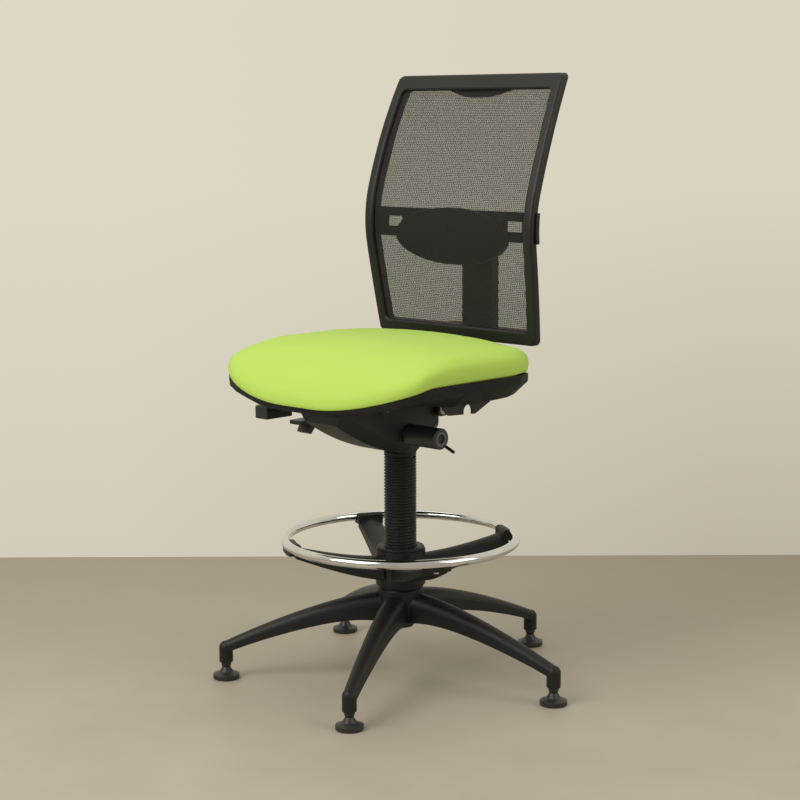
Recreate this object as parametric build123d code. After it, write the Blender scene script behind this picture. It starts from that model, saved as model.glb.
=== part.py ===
from build123d import *
import math
import os

# A drafting chair in millimetres: +Z is up, the chair faces -Y, +X is the sitter's left,
# and the origin is on the floor under the column.

# Clearances
RUNNING_GAP = 0.06
SLIDE_GAP = 0.3
BEARING_GAP = 0.05

# Star base
BASE_ARM_COUNT = 5
BASE_FIRST_ARM_DEG = -61.7
GLIDE_CIRCLE_RADIUS = 331.0
HUB_RADIUS = 44.0
HUB_BOTTOM_Z = 109.0
HUB_TOP_Z = 176.0
BASE_ARM_ROOT_RADIUS = 20.0
BASE_ARM_ROOT_TOP_Z = 168.0
BASE_ARM_ROOT_HEIGHT = 58.0
BASE_ARM_TIP_HEIGHT = 21.0
BASE_ARM_ROOT_WIDTH = 54.0
BASE_ARM_TIP_WIDTH = 25.0
SOCKET_RADIUS = 13.0
SOCKET_HEIGHT = 40.0

# Floor glides
GLIDE_RADIUS = 25.0
GLIDE_RIM_HEIGHT = 9.0
GLIDE_SHOULDER_RADIUS = 13.0
GLIDE_SHOULDER_Z = 14.0
GLIDE_NECK_RADIUS = 7.5
GLIDE_NECK_Z = 23.0
GLIDE_COLLAR_RADIUS = 9.5
GLIDE_HEIGHT = 33.0
STEM_RADIUS = 5.5
STEM_BOTTOM_Z = 14.0
STEM_LENGTH = 42.0

# Gas spring column
TUBE_RADIUS = 25.0
TUBE_WALL = 2.0
TUBE_TAPER = 1.0
TUBE_FLOOR = 4.0
TUBE_BOTTOM_Z = 99.0
TUBE_TOP_Z = 424.0
BUSH_LENGTH = 95.0
BUSH_FLANGE = 5.0
CYLINDER_RADIUS = 14.0
CYLINDER_WALL = 1.8
CYLINDER_LENGTH = 368.0
GLAND_LENGTH = 24.0
VALVE_LENGTH = 22.0
ROD_RADIUS = 5.0
ROD_TAIL = 8.0
ROD_LENGTH = 287.0
PISTON_LENGTH = 14.0
RACE_RADIUS = 17.0
RACE_THICKNESS = 3.0
BALL_RADIUS = 2.4
BALL_CIRCLE_RADIUS = 12.0
BALL_COUNT = 8
BUFFER_RADIUS = 13.5
BUFFER_HEIGHT = 9.0
CLIP_RADIUS = 11.0
CLIP_THICKNESS = 3.5
RELEASE_PIN_RADIUS = 3.0
RELEASE_PIN_LENGTH = 24.0
RELEASE_PIN_PROUD = 8.0

# Threaded column sleeve
SLEEVE_CREST_RADIUS = 30.3
SLEEVE_TOP_Z = 434.0
SLEEVE_COLLAR = 6.0
THREAD_PITCH = 6.0
THREAD_DEPTH = 1.8
THREAD_CREST_FLAT = 2.2
THREAD_ROOT_FLAT = 1.4

# Foot ring
RING_OUTER_RADIUS = 225.0
RING_TUBE_RADIUS = 8.5
RING_Z = 267.0
SPIDER_ARM_COUNT = 4
SPIDER_FIRST_ARM_DEG = -29.0
SPIDER_HUB_WALL = 9.0
SPIDER_HUB_HEIGHT = 66.0
SPIDER_ARM_ROOT_HEIGHT = 40.0
SPIDER_ARM_TIP_HEIGHT = 19.0
SPIDER_ARM_ROOT_WIDTH = 62.0
SPIDER_ARM_WAIST_WIDTH = 42.0
SPIDER_ARM_TIP_WIDTH = 48.0
SADDLE_WIDTH = 54.0
SADDLE_WALL = 9.0
SADDLE_FLOOR = 6.0
SADDLE_RISE = 7.0
SADDLE_REACH = 6.0
SADDLE_ROUND = 2.5
INSERT_WALL = 7.0
INSERT_FLANGE_THICKNESS = 5.0
INSERT_FLANGE_RADIUS = 43.0
COLLAR_RADIUS = 45.0
COLLAR_HEIGHT = 6.0
RING_SCREW_RADIUS = 2.5
RING_SCREW_HEAD_RADIUS = 5.0
RING_SCREW_HEAD_HEIGHT = 3.0

# Tilt mechanism
HOUSING_HALF_WIDTH = 60.0
HOUSING_WALL = 4.0
HOUSING_BOTTOM_Z = 437.0
HOUSING_FRONT_Y = -205.0
HOUSING_REAR_Y = 62.0
HOUSING_FRONT_TOP_Z = 540.0
HOUSING_NOSE_Z = 510.0
HOUSING_PEAK_Z = 545.0
HOUSING_REAR_TOP_Z = 524.0
HOUSING_EDGE_BEVEL = 21.0
BOSS_RADIUS = 22.0
MAIN_PIVOT_Y = 40.0
MAIN_PIVOT_Z = 515.0
MAIN_PIN_RADIUS = 6.0
FRONT_PIVOT_Y = -105.0
FRONT_PIVOT_Z = 535.0
FRONT_PIN_RADIUS = 5.0
LINK_Y = 145.0
LINK_Z = 530.0
LINK_PIN_RADIUS = 5.0
LINK_SLOT_CLEARANCE = 1.2
LINK_SLOT_TRAVEL = 7.0
PIN_CLIP_THICKNESS = 1.5
PIN_CLIP_WALL = 3.0
SPRING_TURNS = 14
SPRING_PITCH = 5.4
SPRING_WIRE_RADIUS = 2.0
SPRING_BUSH_WALL = 3.6
SPRING_BUSH_END = 2.0

# Tension knob
KNOB_Y = -38.0
KNOB_Z = 477.0
KNOB_RADIUS = 19.5
KNOB_END_X = 140.0
KNOB_RECESS_DEPTH = 4.0
KNOB_RECESS_RADIUS = 9.0
KNOB_RING_WALL = 4.5
KNOB_RING_THICKNESS = 2.0
SHAFT_RADIUS = 5.0
NUT_LENGTH = 30.0
NUT_SIDE = 24.0
NUT_X = -20.0

# Tilt lock lever
LOCK_ROD_RADIUS = 3.0
LOCK_Y = -5.0
LOCK_Z = 462.0
LOCK_ELBOW_X = 108.0
LOCK_TIP_X = 150.0
LOCK_TIP_Y = -17.0
LOCK_TIP_Z = 452.0
LOCK_CAM_LENGTH = 8.0
LOCK_CAM_RADIUS = 9.0

# Height lever
LEVER_PIVOT_X = -44.0
LEVER_BAR_WIDTH = 12.0
LEVER_BAR_THICKNESS = 5.0
LEVER_PIN_RADIUS = 3.0
LEVER_PAD_GAP = 0.4
LEVER_ELBOW_X = -110.0
LEVER_ROD_RADIUS = 4.0
LEVER_HANDLE_X = -198.0
LEVER_HANDLE_Y = -62.0
LEVER_HANDLE_Z = 475.0
LEVER_HANDLE_WIDTH = 30.0
LEVER_HANDLE_LENGTH = 42.0
LEVER_HANDLE_THICKNESS = 8.0
LEVER_HOOK_DROP = 20.0

# Back yoke and upright
CHEEK_THICKNESS = 8.0
CHEEK_REAR_Y = 160.0
YOKE_BLOCK_Y = 151.0
YOKE_BLOCK_DEPTH = 21.0
YOKE_BLOCK_BOTTOM_Z = 519.0
YOKE_BLOCK_TOP_Z = 548.0
UPRIGHT_WIDTH = 56.0
UPRIGHT_THICKNESS = 9.0
UPRIGHT_Y = 224.0
UPRIGHT_BEND = 35.0
UPRIGHT_TOP_Z = 800.0
YOKE_BOLT_RADIUS = 4.0
YOKE_BOLT_SPACING = 30.0
YOKE_BOLT_HEAD_RADIUS = 7.0
YOKE_BOLT_HEAD = 5.0

# Seat carrier and slides
CARRIER_HALF_WIDTH = 84.0
CARRIER_THICKNESS = 3.0
CARRIER_Z = 553.0
CARRIER_FRONT_Y = -125.0
CARRIER_REAR_Y = 156.0
EAR_THICKNESS = 4.0
EAR_HALF_LENGTH = 14.0
RAIL_X = 60.0
RAIL_Y = -22.0
RAIL_LENGTH = 196.0
RAIL_HEAD_WIDTH = 14.0
RAIL_HEAD_HEIGHT = 6.0
RAIL_WEB_WIDTH = 4.0
RUNNER_WIDTH = 26.0
RUNNER_HEIGHT = 17.5
RUNNER_LENGTH = 160.0
RUNNER_Y = -10.0
RUNNER_TOP_WALL = 6.3
RUNNER_SCREW_RADIUS = 2.2
RUNNER_SCREW_HEAD_RADIUS = 4.5
RUNNER_SCREW_HEAD = 2.5
RUNNER_SCREW_LENGTH = 10.0
RUNNER_SCREW_INSET = 25.0

# Seat
SEAT_HALF_WIDTH = 247.0
SEAT_FRONT_Y = -268.0
SEAT_REAR_Y = 175.0
SEAT_FRONT_CORNER = 75.0
SEAT_FRONT_SWEEP = 212.0
SEAT_REAR_CORNER = 150.0
SEAM_Z = 592.5
SEAM_FALL = 50.0
SEAM_BEND_Y = -163.0
SEAM_REAR_FALL = 16.0
SEAM_REAR_BEND_Y = 71.0
CUSHION_HEIGHT = 54.0
CUSHION_FRONT_HEIGHT = 26.0
CUSHION_REAR_HEIGHT = 10.0
CUSHION_FRONT_ROLL = 190.0
CUSHION_REAR_ROLL = 115.0
CUSHION_CROWN = 4.0
CUSHION_DRAW_IN = 8.0
CUSHION_TOP_INSET = 32.0
CUSHION_END_TUCK = 5.0
SEAM_GAP = 0.8
BOARD_THICKNESS = 10.0
BOARD_INSET = 24.0
SHELL_INSET = 2.0
SHELL_WALL = 3.0
SHELL_DEPTH = 43.0
SHELL_RIM = 15.0
SHELL_RIM_SHARE = 0.35
SHELL_FRONT_DEPTH = 6.0
SHELL_REAR_DEPTH = 28.0
SHELL_FRONT_SLOPE = 105.0
SHELL_REAR_SLOPE = 34.0
SHELL_FLAT_FRONT_Y = -130.0
SHELL_FLAT_REAR_Y = 62.0
SHELL_OPENING_HALF_WIDTH = 90.0
SHELL_OPENING_FRONT_Y = -140.0
SHELL_OPENING_CLEARANCE = 3.0

# Arm brackets under the seat
BRACKET_INSET = 63.0
BRACKET_THICKNESS = 4.0
BRACKET_FRONT_Y = -84.0
BRACKET_REAR_Y = 36.0
BRACKET_DROP = 20.0
BRACKET_FLANGE = 44.0
BRACKET_NOTCH_Y = -20.0
BRACKET_NOTCH_WIDTH = 23.0
BRACKET_NOTCH_HEIGHT = 14.5
BRACKET_SCREW_RADIUS = 2.5
BRACKET_SCREW_HEAD_RADIUS = 5.0
BRACKET_SCREW_HEAD = 3.0

# Seat depth lever
DEPTH_PIVOT_INSET = 127.0
DEPTH_PIVOT_Z = 536.0
DEPTH_Y = -130.0
DEPTH_ARM_WIDTH = 7.0
DEPTH_LUG_WIDTH = 6.0
DEPTH_LUG_RADIUS = 7.0
DEPTH_PIN_RADIUS = 3.0
DEPTH_PADDLE_INSET = 41.0
DEPTH_PADDLE_Z = 503.0
DEPTH_PADDLE_WIDTH = 34.0
DEPTH_PADDLE_LENGTH = 66.0
DEPTH_PADDLE_HEIGHT = 25.0

# Back frame, its front face seen from the side
LUMBAR_Y = 121.0
LUMBAR_Z = 845.0
LUMBAR_RADIUS = 254.0
LUMBAR_LOW_DEG = -8.75
LUMBAR_HIGH_DEG = 16.0
UPPER_BACK_RADIUS = 1136.0
BACK_BOTTOM_Z = 632.0
BACK_TOP_Z = 1130.0
BACK_BOTTOM_HALF_WIDTH = 200.0
BACK_MIDDLE_HALF_WIDTH = 214.0
BACK_TOP_HALF_WIDTH = 208.0
BACK_MIDDLE_Z = 870.0
BACK_CORNER = 14.0
FRAME_DEPTH = 24.0
FRAME_SIDE_BAND = 22.0
FRAME_TOP_BAND = 30.0
FRAME_BOTTOM_BAND = 27.0
FRAME_WINDOW_CORNER = 9.0
FRAME_REAR_CHAMFER = 9.0
FRAME_FRONT_ROUND = 6.0
FRAME_WINDOW_ROUND = 5.0
MESH_DEPTH = 8.0
MESH_THICKNESS = 1.5
GRIP_HALF_WIDTH = 120.0
GRIP_DROP = 14.0
GRIP_THICKNESS = 6.0

# Upright sleeve of the back
BACK_SLEEVE_HALF_WIDTH = 39.0
BACK_SLEEVE_WALL = 7.0
BACK_SLEEVE_BOTTOM_Z = 634.0
BACK_SLEEVE_TOP_Z = 848.0
BACK_SLEEVE_HEADROOM = 10.0
BACK_SLEEVE_ROUND = 5.0
BACK_BRACKET_HALF_WIDTH = 54.0
BACK_BRACKET_BOTTOM_Z = 634.0
BACK_BRACKET_HEIGHT = 23.0
BACK_SCREW_RADIUS = 2.5
BACK_SCREW_HEAD_RADIUS = 5.0
BACK_SCREW_HEAD = 3.0
BACK_SCREW_LENGTH = 46.0
BACK_SCREW_X = 46.0

# Lumbar support
LUMBAR_REST_DEG = 1.2
BAND_THICKNESS = 4.0
BAND_HALF_HEIGHT = 28.0
BAND_SLOT_X = 152.0
BAND_SLOT_WIDTH = 38.0
BAND_SLOT_HEIGHT = 20.0
CLIP_HALF_HEIGHT = 27.0
CLIP_PLATE = 3.4
CLIP_SIDE_GAP = 0.9
CLIP_REACH = 14.0
PAD_HALF_WIDTH = 140.0
PAD_HALF_HEIGHT = 54.0
PAD_DROP = 23.0
PAD_ROUND = 5.0
PAD_SLIT_WIDTH = 3.0
PAD_SLIT_HEIGHT = 22.0
PAD_SLIT_DEPTH = 4.0


# Values worked out from the sizes above
ARM_TIP_TOP_Z = GLIDE_HEIGHT + SOCKET_HEIGHT
RING_RADIUS = RING_OUTER_RADIUS - RING_TUBE_RADIUS
RACE_Z = TUBE_BOTTOM_Z + TUBE_FLOOR
BALL_Z = RACE_Z + RACE_THICKNESS + BEARING_GAP + BALL_RADIUS
UPPER_RACE_Z = BALL_Z + BALL_RADIUS + BEARING_GAP
BUFFER_Z = UPPER_RACE_Z + RACE_THICKNESS
CYLINDER_Z = BUFFER_Z + BUFFER_HEIGHT + SLIDE_GAP
CYLINDER_TOP_Z = CYLINDER_Z + CYLINDER_LENGTH
CYLINDER_BORE = CYLINDER_RADIUS - CYLINDER_WALL
ROD_TOP_Z = TUBE_BOTTOM_Z - ROD_TAIL + ROD_LENGTH
RELEASE_PIN_TOP_Z = CYLINDER_TOP_Z + RELEASE_PIN_PROUD
INSERT_Z = HUB_TOP_Z + SLIDE_GAP
INSERT_BORE = SLEEVE_CREST_RADIUS + SLIDE_GAP
INSERT_RADIUS = INSERT_BORE + INSERT_WALL
SPIDER_Z = INSERT_Z + INSERT_FLANGE_THICKNESS + SLIDE_GAP
SPIDER_BORE = INSERT_RADIUS + SLIDE_GAP
SPIDER_HUB_RADIUS = SPIDER_BORE + SPIDER_HUB_WALL
COLLAR_Z = SPIDER_Z + SPIDER_HUB_HEIGHT + SLIDE_GAP
LEVER_BAR_Z = RELEASE_PIN_TOP_Z + LEVER_PAD_GAP
LEVER_PIVOT_Z = LEVER_BAR_Z + LEVER_BAR_THICKNESS / 2
CHEEK_X = HOUSING_HALF_WIDTH + 4 + CHEEK_THICKNESS / 2
FRONT_EAR_X = HOUSING_HALF_WIDTH + 4.5 + EAR_THICKNESS / 2
REAR_EAR_X = CHEEK_X + CHEEK_THICKNESS / 2 + 4 + EAR_THICKNESS / 2
BOARD_TOP_Z = SEAM_Z - SEAM_GAP
BOARD_BOTTOM_Z = BOARD_TOP_Z - BOARD_THICKNESS
SHELL_BOTTOM_Z = SEAM_Z - SEAM_GAP - SHELL_DEPTH
RUNNER_Z = BOARD_BOTTOM_Z - RUNNER_HEIGHT
RAIL_TOP_Z = BOARD_BOTTOM_Z - RUNNER_TOP_WALL - SLIDE_GAP
BRACKET_X = SEAT_HALF_WIDTH - BRACKET_INSET
DEPTH_PIVOT_X = DEPTH_PIVOT_INSET - SEAT_HALF_WIDTH
DEPTH_PADDLE_X = DEPTH_PADDLE_INSET - SEAT_HALF_WIDTH
BAND_RADIUS = LUMBAR_RADIUS - FRAME_DEPTH - SLIDE_GAP
PAD_RADIUS = LUMBAR_RADIUS - MESH_DEPTH - MESH_THICKNESS - 2 * SLIDE_GAP
LUMBAR_CENTRE_Y = LUMBAR_Y + LUMBAR_RADIUS


# Plain shapes
def box(x0, x1, y0, y1, z0, z1):
    centre = Pos((x0 + x1) / 2, (y0 + y1) / 2, (z0 + z1) / 2)
    return centre * Box(x1 - x0, y1 - y0, z1 - z0)


def rod_z(radius, z0, z1, x=0.0, y=0.0):
    return Pos(x, y, (z0 + z1) / 2) * Cylinder(radius, z1 - z0)


def rod_x(radius, x0, x1, y, z):
    return Pos((x0 + x1) / 2, y, z) * Rot(0, 90, 0) * Cylinder(radius, x1 - x0)


def rod_y(radius, y0, y1, x, z):
    return Pos(x, (y0 + y1) / 2, z) * Rot(90, 0, 0) * Cylinder(radius, y1 - y0)


def rod_between(radius, start, end):
    return Solid.make_cylinder(radius, (end - start).length, Plane(start, z_dir=end - start))


def ring_z(outer, inner, z0, z1):
    return rod_z(outer, z0, z1) - rod_z(inner, z0, z1)


def turned(points):
    """A solid turned about Z from a closed outline of (radius, height) points."""
    return revolve(Plane.XZ * make_face(Polyline(*points, close=True)), Axis.Z)


def side_plate(points, x0, x1):
    """A flat plate with a (y, z) outline, from x0 to x1."""
    face = Plane.YZ * make_face(Polyline(*points, close=True))
    return Pos(x0, 0, 0) * extrude(face, amount=x1 - x0, dir=(1, 0, 0))


def around(solid, angle):
    return Rot(0, 0, angle) * solid


def mirrored(solid):
    return mirror(solid, Plane.YZ)


def joined(first, others):
    return Part() + first.fuse(*others)


def arm_section(radius, top, height, width):
    """An upright arm section with a flat base, leaning sides and a round top, facing outward."""
    half = width / 2
    low = top - height
    shoulder = low + 0.55 * height
    outline = [
        Line((-half, low), (half, low)),
        Line((half, low), (0.94 * half, shoulder)),
        ThreePointArc((0.94 * half, shoulder), (0, top), (-0.94 * half, shoulder)),
        Line((-0.94 * half, shoulder), (-half, low)),
    ]
    upright = Plane(origin=(radius, 0, 0), x_dir=(0, 1, 0), z_dir=(1, 0, 0))
    return upright * make_face(outline)


# Star base and glides
def base_angles():
    return [BASE_FIRST_ARM_DEG + 360 / BASE_ARM_COUNT * i for i in range(BASE_ARM_COUNT)]


def base_arm():
    sections = []
    for t in (0.0, 0.25, 0.5, 0.75, 1.0):
        radius = BASE_ARM_ROOT_RADIUS + t * (GLIDE_CIRCLE_RADIUS - BASE_ARM_ROOT_RADIUS)
        top = BASE_ARM_ROOT_TOP_Z + t**1.5 * (ARM_TIP_TOP_Z - BASE_ARM_ROOT_TOP_Z)
        height = BASE_ARM_ROOT_HEIGHT + t**0.6 * (BASE_ARM_TIP_HEIGHT - BASE_ARM_ROOT_HEIGHT)
        width = BASE_ARM_ROOT_WIDTH + t**0.8 * (BASE_ARM_TIP_WIDTH - BASE_ARM_ROOT_WIDTH)
        sections.append(arm_section(radius, top, height, width))
    return loft(sections)


def base_socket():
    dome_z = ARM_TIP_TOP_Z - SOCKET_RADIUS
    lean = SOCKET_RADIUS * math.sqrt(0.5)
    outline = [
        Polyline(
            (0, ARM_TIP_TOP_Z), (0, GLIDE_HEIGHT), (SOCKET_RADIUS, GLIDE_HEIGHT), (SOCKET_RADIUS, dome_z),
        ),
        ThreePointArc((SOCKET_RADIUS, dome_z), (lean, dome_z + lean), (0, ARM_TIP_TOP_Z)),
    ]
    return Pos(GLIDE_CIRCLE_RADIUS, 0, 0) * revolve(Plane.XZ * make_face(outline), Axis.Z)


def glide_stem():
    return rod_z(STEM_RADIUS, STEM_BOTTOM_Z, STEM_BOTTOM_Z + STEM_LENGTH, x=GLIDE_CIRCLE_RADIUS)


def glide():
    body = turned([
        (0, 0), (GLIDE_RADIUS - 2, 0), (GLIDE_RADIUS, 2), (GLIDE_RADIUS, GLIDE_RIM_HEIGHT),
        (GLIDE_SHOULDER_RADIUS, GLIDE_SHOULDER_Z), (GLIDE_NECK_RADIUS, GLIDE_NECK_Z),
        (GLIDE_COLLAR_RADIUS, GLIDE_NECK_Z + 4), (GLIDE_COLLAR_RADIUS, GLIDE_HEIGHT), (0, GLIDE_HEIGHT),
    ])
    return Pos(GLIDE_CIRCLE_RADIUS, 0, 0) * body - glide_stem()


def star_base():
    hub = rod_z(HUB_RADIUS, HUB_BOTTOM_Z, HUB_TOP_Z)
    hub = chamfer(hub.edges().filter_by(GeomType.CIRCLE), 4)
    limbs = [around(part, a) for a in base_angles() for part in (base_arm(), base_socket())]
    height = HUB_TOP_Z - HUB_BOTTOM_Z
    bore = Pos(0, 0, HUB_BOTTOM_Z + height / 2) * Cone(TUBE_RADIUS - TUBE_TAPER, TUBE_RADIUS, height)
    stems = [around(glide_stem(), a) for a in base_angles()]
    return joined(hub, limbs) - bore - stems


# Gas spring column
def stand_tube():
    low, high = TUBE_RADIUS - TUBE_TAPER, TUBE_RADIUS
    floor_z = TUBE_BOTTOM_Z + TUBE_FLOOR
    hole = ROD_RADIUS + SLIDE_GAP
    return turned([
        (hole, TUBE_BOTTOM_Z), (low, TUBE_BOTTOM_Z), (low, HUB_BOTTOM_Z), (high, HUB_TOP_Z),
        (high, TUBE_TOP_Z),
        (high - TUBE_WALL, TUBE_TOP_Z), (high - TUBE_WALL, HUB_TOP_Z), (low - TUBE_WALL, HUB_BOTTOM_Z),
        (low - TUBE_WALL, floor_z), (hole, floor_z),
    ])


def column_sleeve():
    """A sleeve over the stand tube with the thread's ribs on it and a plain collar at each end."""
    inner = TUBE_RADIUS + SLIDE_GAP
    root = SLEEVE_CREST_RADIUS - THREAD_DEPTH
    flank = (THREAD_PITCH - THREAD_CREST_FLAT - THREAD_ROOT_FLAT) / 2
    points = [(inner, HUB_TOP_Z), (SLEEVE_CREST_RADIUS, HUB_TOP_Z)]
    ribs = int((SLEEVE_TOP_Z - HUB_TOP_Z - 2 * SLEEVE_COLLAR) / THREAD_PITCH)
    for i in range(ribs):
        z = HUB_TOP_Z + SLEEVE_COLLAR + i * THREAD_PITCH
        points.append((SLEEVE_CREST_RADIUS, z))
        points.append((root, z + flank))
        points.append((root, z + flank + THREAD_ROOT_FLAT))
        points.append((SLEEVE_CREST_RADIUS, z + 2 * flank + THREAD_ROOT_FLAT))
    points += [(SLEEVE_CREST_RADIUS, SLEEVE_TOP_Z), (inner, SLEEVE_TOP_Z)]
    return turned(points)


def guide_bush():
    outer = TUBE_RADIUS - TUBE_WALL
    inner = CYLINDER_RADIUS + RUNNING_GAP
    top = TUBE_TOP_Z + BUSH_FLANGE
    return turned([
        (inner, TUBE_TOP_Z - BUSH_LENGTH), (outer, TUBE_TOP_Z - BUSH_LENGTH), (outer, TUBE_TOP_Z),
        (TUBE_RADIUS, TUBE_TOP_Z), (TUBE_RADIUS, top), (inner, top),
    ])


def bearing_balls():
    ball = Pos(BALL_CIRCLE_RADIUS, 0, BALL_Z) * Sphere(BALL_RADIUS)
    return Compound([around(ball, 360 / BALL_COUNT * i).solid() for i in range(BALL_COUNT)])


def column_parts():
    valve_z = CYLINDER_TOP_Z - VALVE_LENGTH
    gland_bore = ROD_RADIUS + RUNNING_GAP
    clip_z = TUBE_BOTTOM_Z - SLIDE_GAP - CLIP_THICKNESS
    piston_z = ROD_TOP_Z - PISTON_LENGTH
    pin_z = RELEASE_PIN_TOP_Z - RELEASE_PIN_LENGTH
    return {
        "stand_tube": stand_tube(),
        "column_sleeve": column_sleeve(),
        "guide_bush": guide_bush(),
        "bearing_lower_race": ring_z(RACE_RADIUS, ROD_RADIUS + SLIDE_GAP, RACE_Z, RACE_Z + RACE_THICKNESS),
        "bearing_balls": bearing_balls(),
        "bearing_upper_race": ring_z(RACE_RADIUS, ROD_RADIUS, UPPER_RACE_Z, UPPER_RACE_Z + RACE_THICKNESS),
        "rod_buffer": ring_z(BUFFER_RADIUS, ROD_RADIUS, BUFFER_Z, BUFFER_Z + BUFFER_HEIGHT),
        "rod_clip": ring_z(CLIP_RADIUS, ROD_RADIUS, clip_z, clip_z + CLIP_THICKNESS),
        "piston_rod": rod_z(ROD_RADIUS, TUBE_BOTTOM_Z - ROD_TAIL, ROD_TOP_Z),
        "piston": ring_z(CYLINDER_BORE - RUNNING_GAP, ROD_RADIUS, piston_z, ROD_TOP_Z),
        "gas_cylinder": ring_z(CYLINDER_RADIUS, CYLINDER_BORE, CYLINDER_Z, CYLINDER_TOP_Z),
        "rod_gland": ring_z(CYLINDER_BORE, gland_bore, CYLINDER_Z, CYLINDER_Z + GLAND_LENGTH),
        "valve_body": ring_z(CYLINDER_BORE, RELEASE_PIN_RADIUS + RUNNING_GAP, valve_z, CYLINDER_TOP_Z),
        "release_pin": rod_z(RELEASE_PIN_RADIUS, pin_z, RELEASE_PIN_TOP_Z),
    }


# Foot ring
def spider_angles():
    return [SPIDER_FIRST_ARM_DEG + 360 / SPIDER_ARM_COUNT * i for i in range(SPIDER_ARM_COUNT)]


def ring_tube():
    return Pos(0, 0, RING_Z) * Torus(RING_RADIUS, RING_TUBE_RADIUS)


def ring_screw():
    saddle_z = RING_Z - RING_TUBE_RADIUS - SADDLE_FLOOR
    head = rod_z(RING_SCREW_HEAD_RADIUS, saddle_z - RING_SCREW_HEAD_HEIGHT, saddle_z, x=RING_RADIUS)
    return head + rod_z(RING_SCREW_RADIUS, saddle_z, RING_Z - RING_TUBE_RADIUS, x=RING_RADIUS)


def ring_saddle():
    """A pad under the ring and up its inner side, bent along the ring."""
    inner = RING_RADIUS - RING_TUBE_RADIUS - SADDLE_WALL
    under = RING_Z - RING_TUBE_RADIUS - SADDLE_FLOOR
    lip = RING_RADIUS - RING_TUBE_RADIUS / 3
    high = RING_Z + SADDLE_RISE
    outline = Polyline(
        (inner, under), (RING_RADIUS + SADDLE_REACH, under),
        (RING_RADIUS + SADDLE_REACH, RING_Z - RING_TUBE_RADIUS / 2), (lip, RING_Z), (lip, high),
        (inner + SADDLE_WALL / 2, high), (inner, RING_Z + SADDLE_RISE / 2), close=True,
    )
    span = math.degrees(SADDLE_WIDTH / RING_RADIUS)
    saddle = around(revolve(Plane.XZ * make_face(outline), Axis.Z, span), -span / 2)
    ends = saddle.faces().sort_by(Axis.Y)
    return fillet(ends[0].edges() + ends[-1].edges(), SADDLE_ROUND)


def spider_arm():
    start = SPIDER_BORE + 3
    end = RING_RADIUS - RING_TUBE_RADIUS
    tip_top = RING_Z - 1
    root_top = SPIDER_Z + SPIDER_HUB_HEIGHT - 12
    sections = []
    for t in (0.0, 0.3, 0.65, 1.0):
        top = root_top + t**1.5 * (tip_top - root_top)
        height = SPIDER_ARM_ROOT_HEIGHT + t**1.2 * (SPIDER_ARM_TIP_HEIGHT - SPIDER_ARM_ROOT_HEIGHT)
        root_part, tip_part = (1 - t) ** 2, t**2
        width = (
            SPIDER_ARM_WAIST_WIDTH
            + root_part * (SPIDER_ARM_ROOT_WIDTH - SPIDER_ARM_WAIST_WIDTH)
            + tip_part * (SPIDER_ARM_TIP_WIDTH - SPIDER_ARM_WAIST_WIDTH)
        )
        sections.append(arm_section(start + t * (end - start), top, height, width))
    return loft(sections) + ring_saddle()


def ring_spider():
    hub = rod_z(SPIDER_HUB_RADIUS, SPIDER_Z, SPIDER_Z + SPIDER_HUB_HEIGHT)
    arms = [around(spider_arm(), a) for a in spider_angles()]
    bore = rod_z(SPIDER_BORE, SPIDER_Z, SPIDER_Z + SPIDER_HUB_HEIGHT)
    screws = [around(ring_screw(), a) for a in spider_angles()]
    return joined(hub, arms) - bore - ring_tube() - screws


def thread_insert():
    flange_z = INSERT_Z + INSERT_FLANGE_THICKNESS
    top = COLLAR_Z + COLLAR_HEIGHT
    return turned([
        (INSERT_BORE, INSERT_Z), (INSERT_FLANGE_RADIUS, INSERT_Z), (INSERT_FLANGE_RADIUS, flange_z),
        (INSERT_RADIUS, flange_z), (INSERT_RADIUS, top), (INSERT_BORE, top),
    ])


def foot_ring_parts():
    collar = ring_z(COLLAR_RADIUS, INSERT_RADIUS, COLLAR_Z, COLLAR_Z + COLLAR_HEIGHT)
    collar = chamfer(collar.edges().group_by(Axis.Z)[-1].sort_by(SortBy.RADIUS)[-1], 2)
    return {
        "foot_ring": ring_tube(),
        "ring_spider": ring_spider(),
        "ring_screws": Compound([around(ring_screw(), a).solid() for a in spider_angles()]),
        "thread_insert": thread_insert(),
        "lock_collar": collar,
    }


# Tilt mechanism
def housing_profile():
    """The housing's outline seen from the side, with its belly swept up to the nose."""
    belly_y = -30.0
    heel_y = 2.0
    heel_z = HOUSING_BOTTOM_Z + 41
    outline = [
        Polyline(
            (HOUSING_FRONT_Y, HOUSING_NOSE_Z), (HOUSING_FRONT_Y, HOUSING_FRONT_TOP_Z - 8),
            (HOUSING_FRONT_Y + 9, HOUSING_FRONT_TOP_Z), (FRONT_PIVOT_Y, HOUSING_PEAK_Z),
            (HOUSING_REAR_Y, HOUSING_REAR_TOP_Z), (HOUSING_REAR_Y, heel_z),
        ),
        Line((HOUSING_REAR_Y, heel_z), (heel_y, HOUSING_BOTTOM_Z)),
        Line((heel_y, HOUSING_BOTTOM_Z), (belly_y, HOUSING_BOTTOM_Z)),
        ThreePointArc(
            (belly_y, HOUSING_BOTTOM_Z),
            (HOUSING_FRONT_Y + 66, HOUSING_NOSE_Z - 37),
            (HOUSING_FRONT_Y, HOUSING_NOSE_Z),
        ),
    ]
    return make_face(outline)


def bevelled_below(solid):
    lower = solid.edges().filter_by(Plane.YZ).filter_by_position(Axis.Z, 0, HOUSING_NOSE_Z - 5)
    return chamfer(lower, HOUSING_EDGE_BEVEL)


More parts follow.
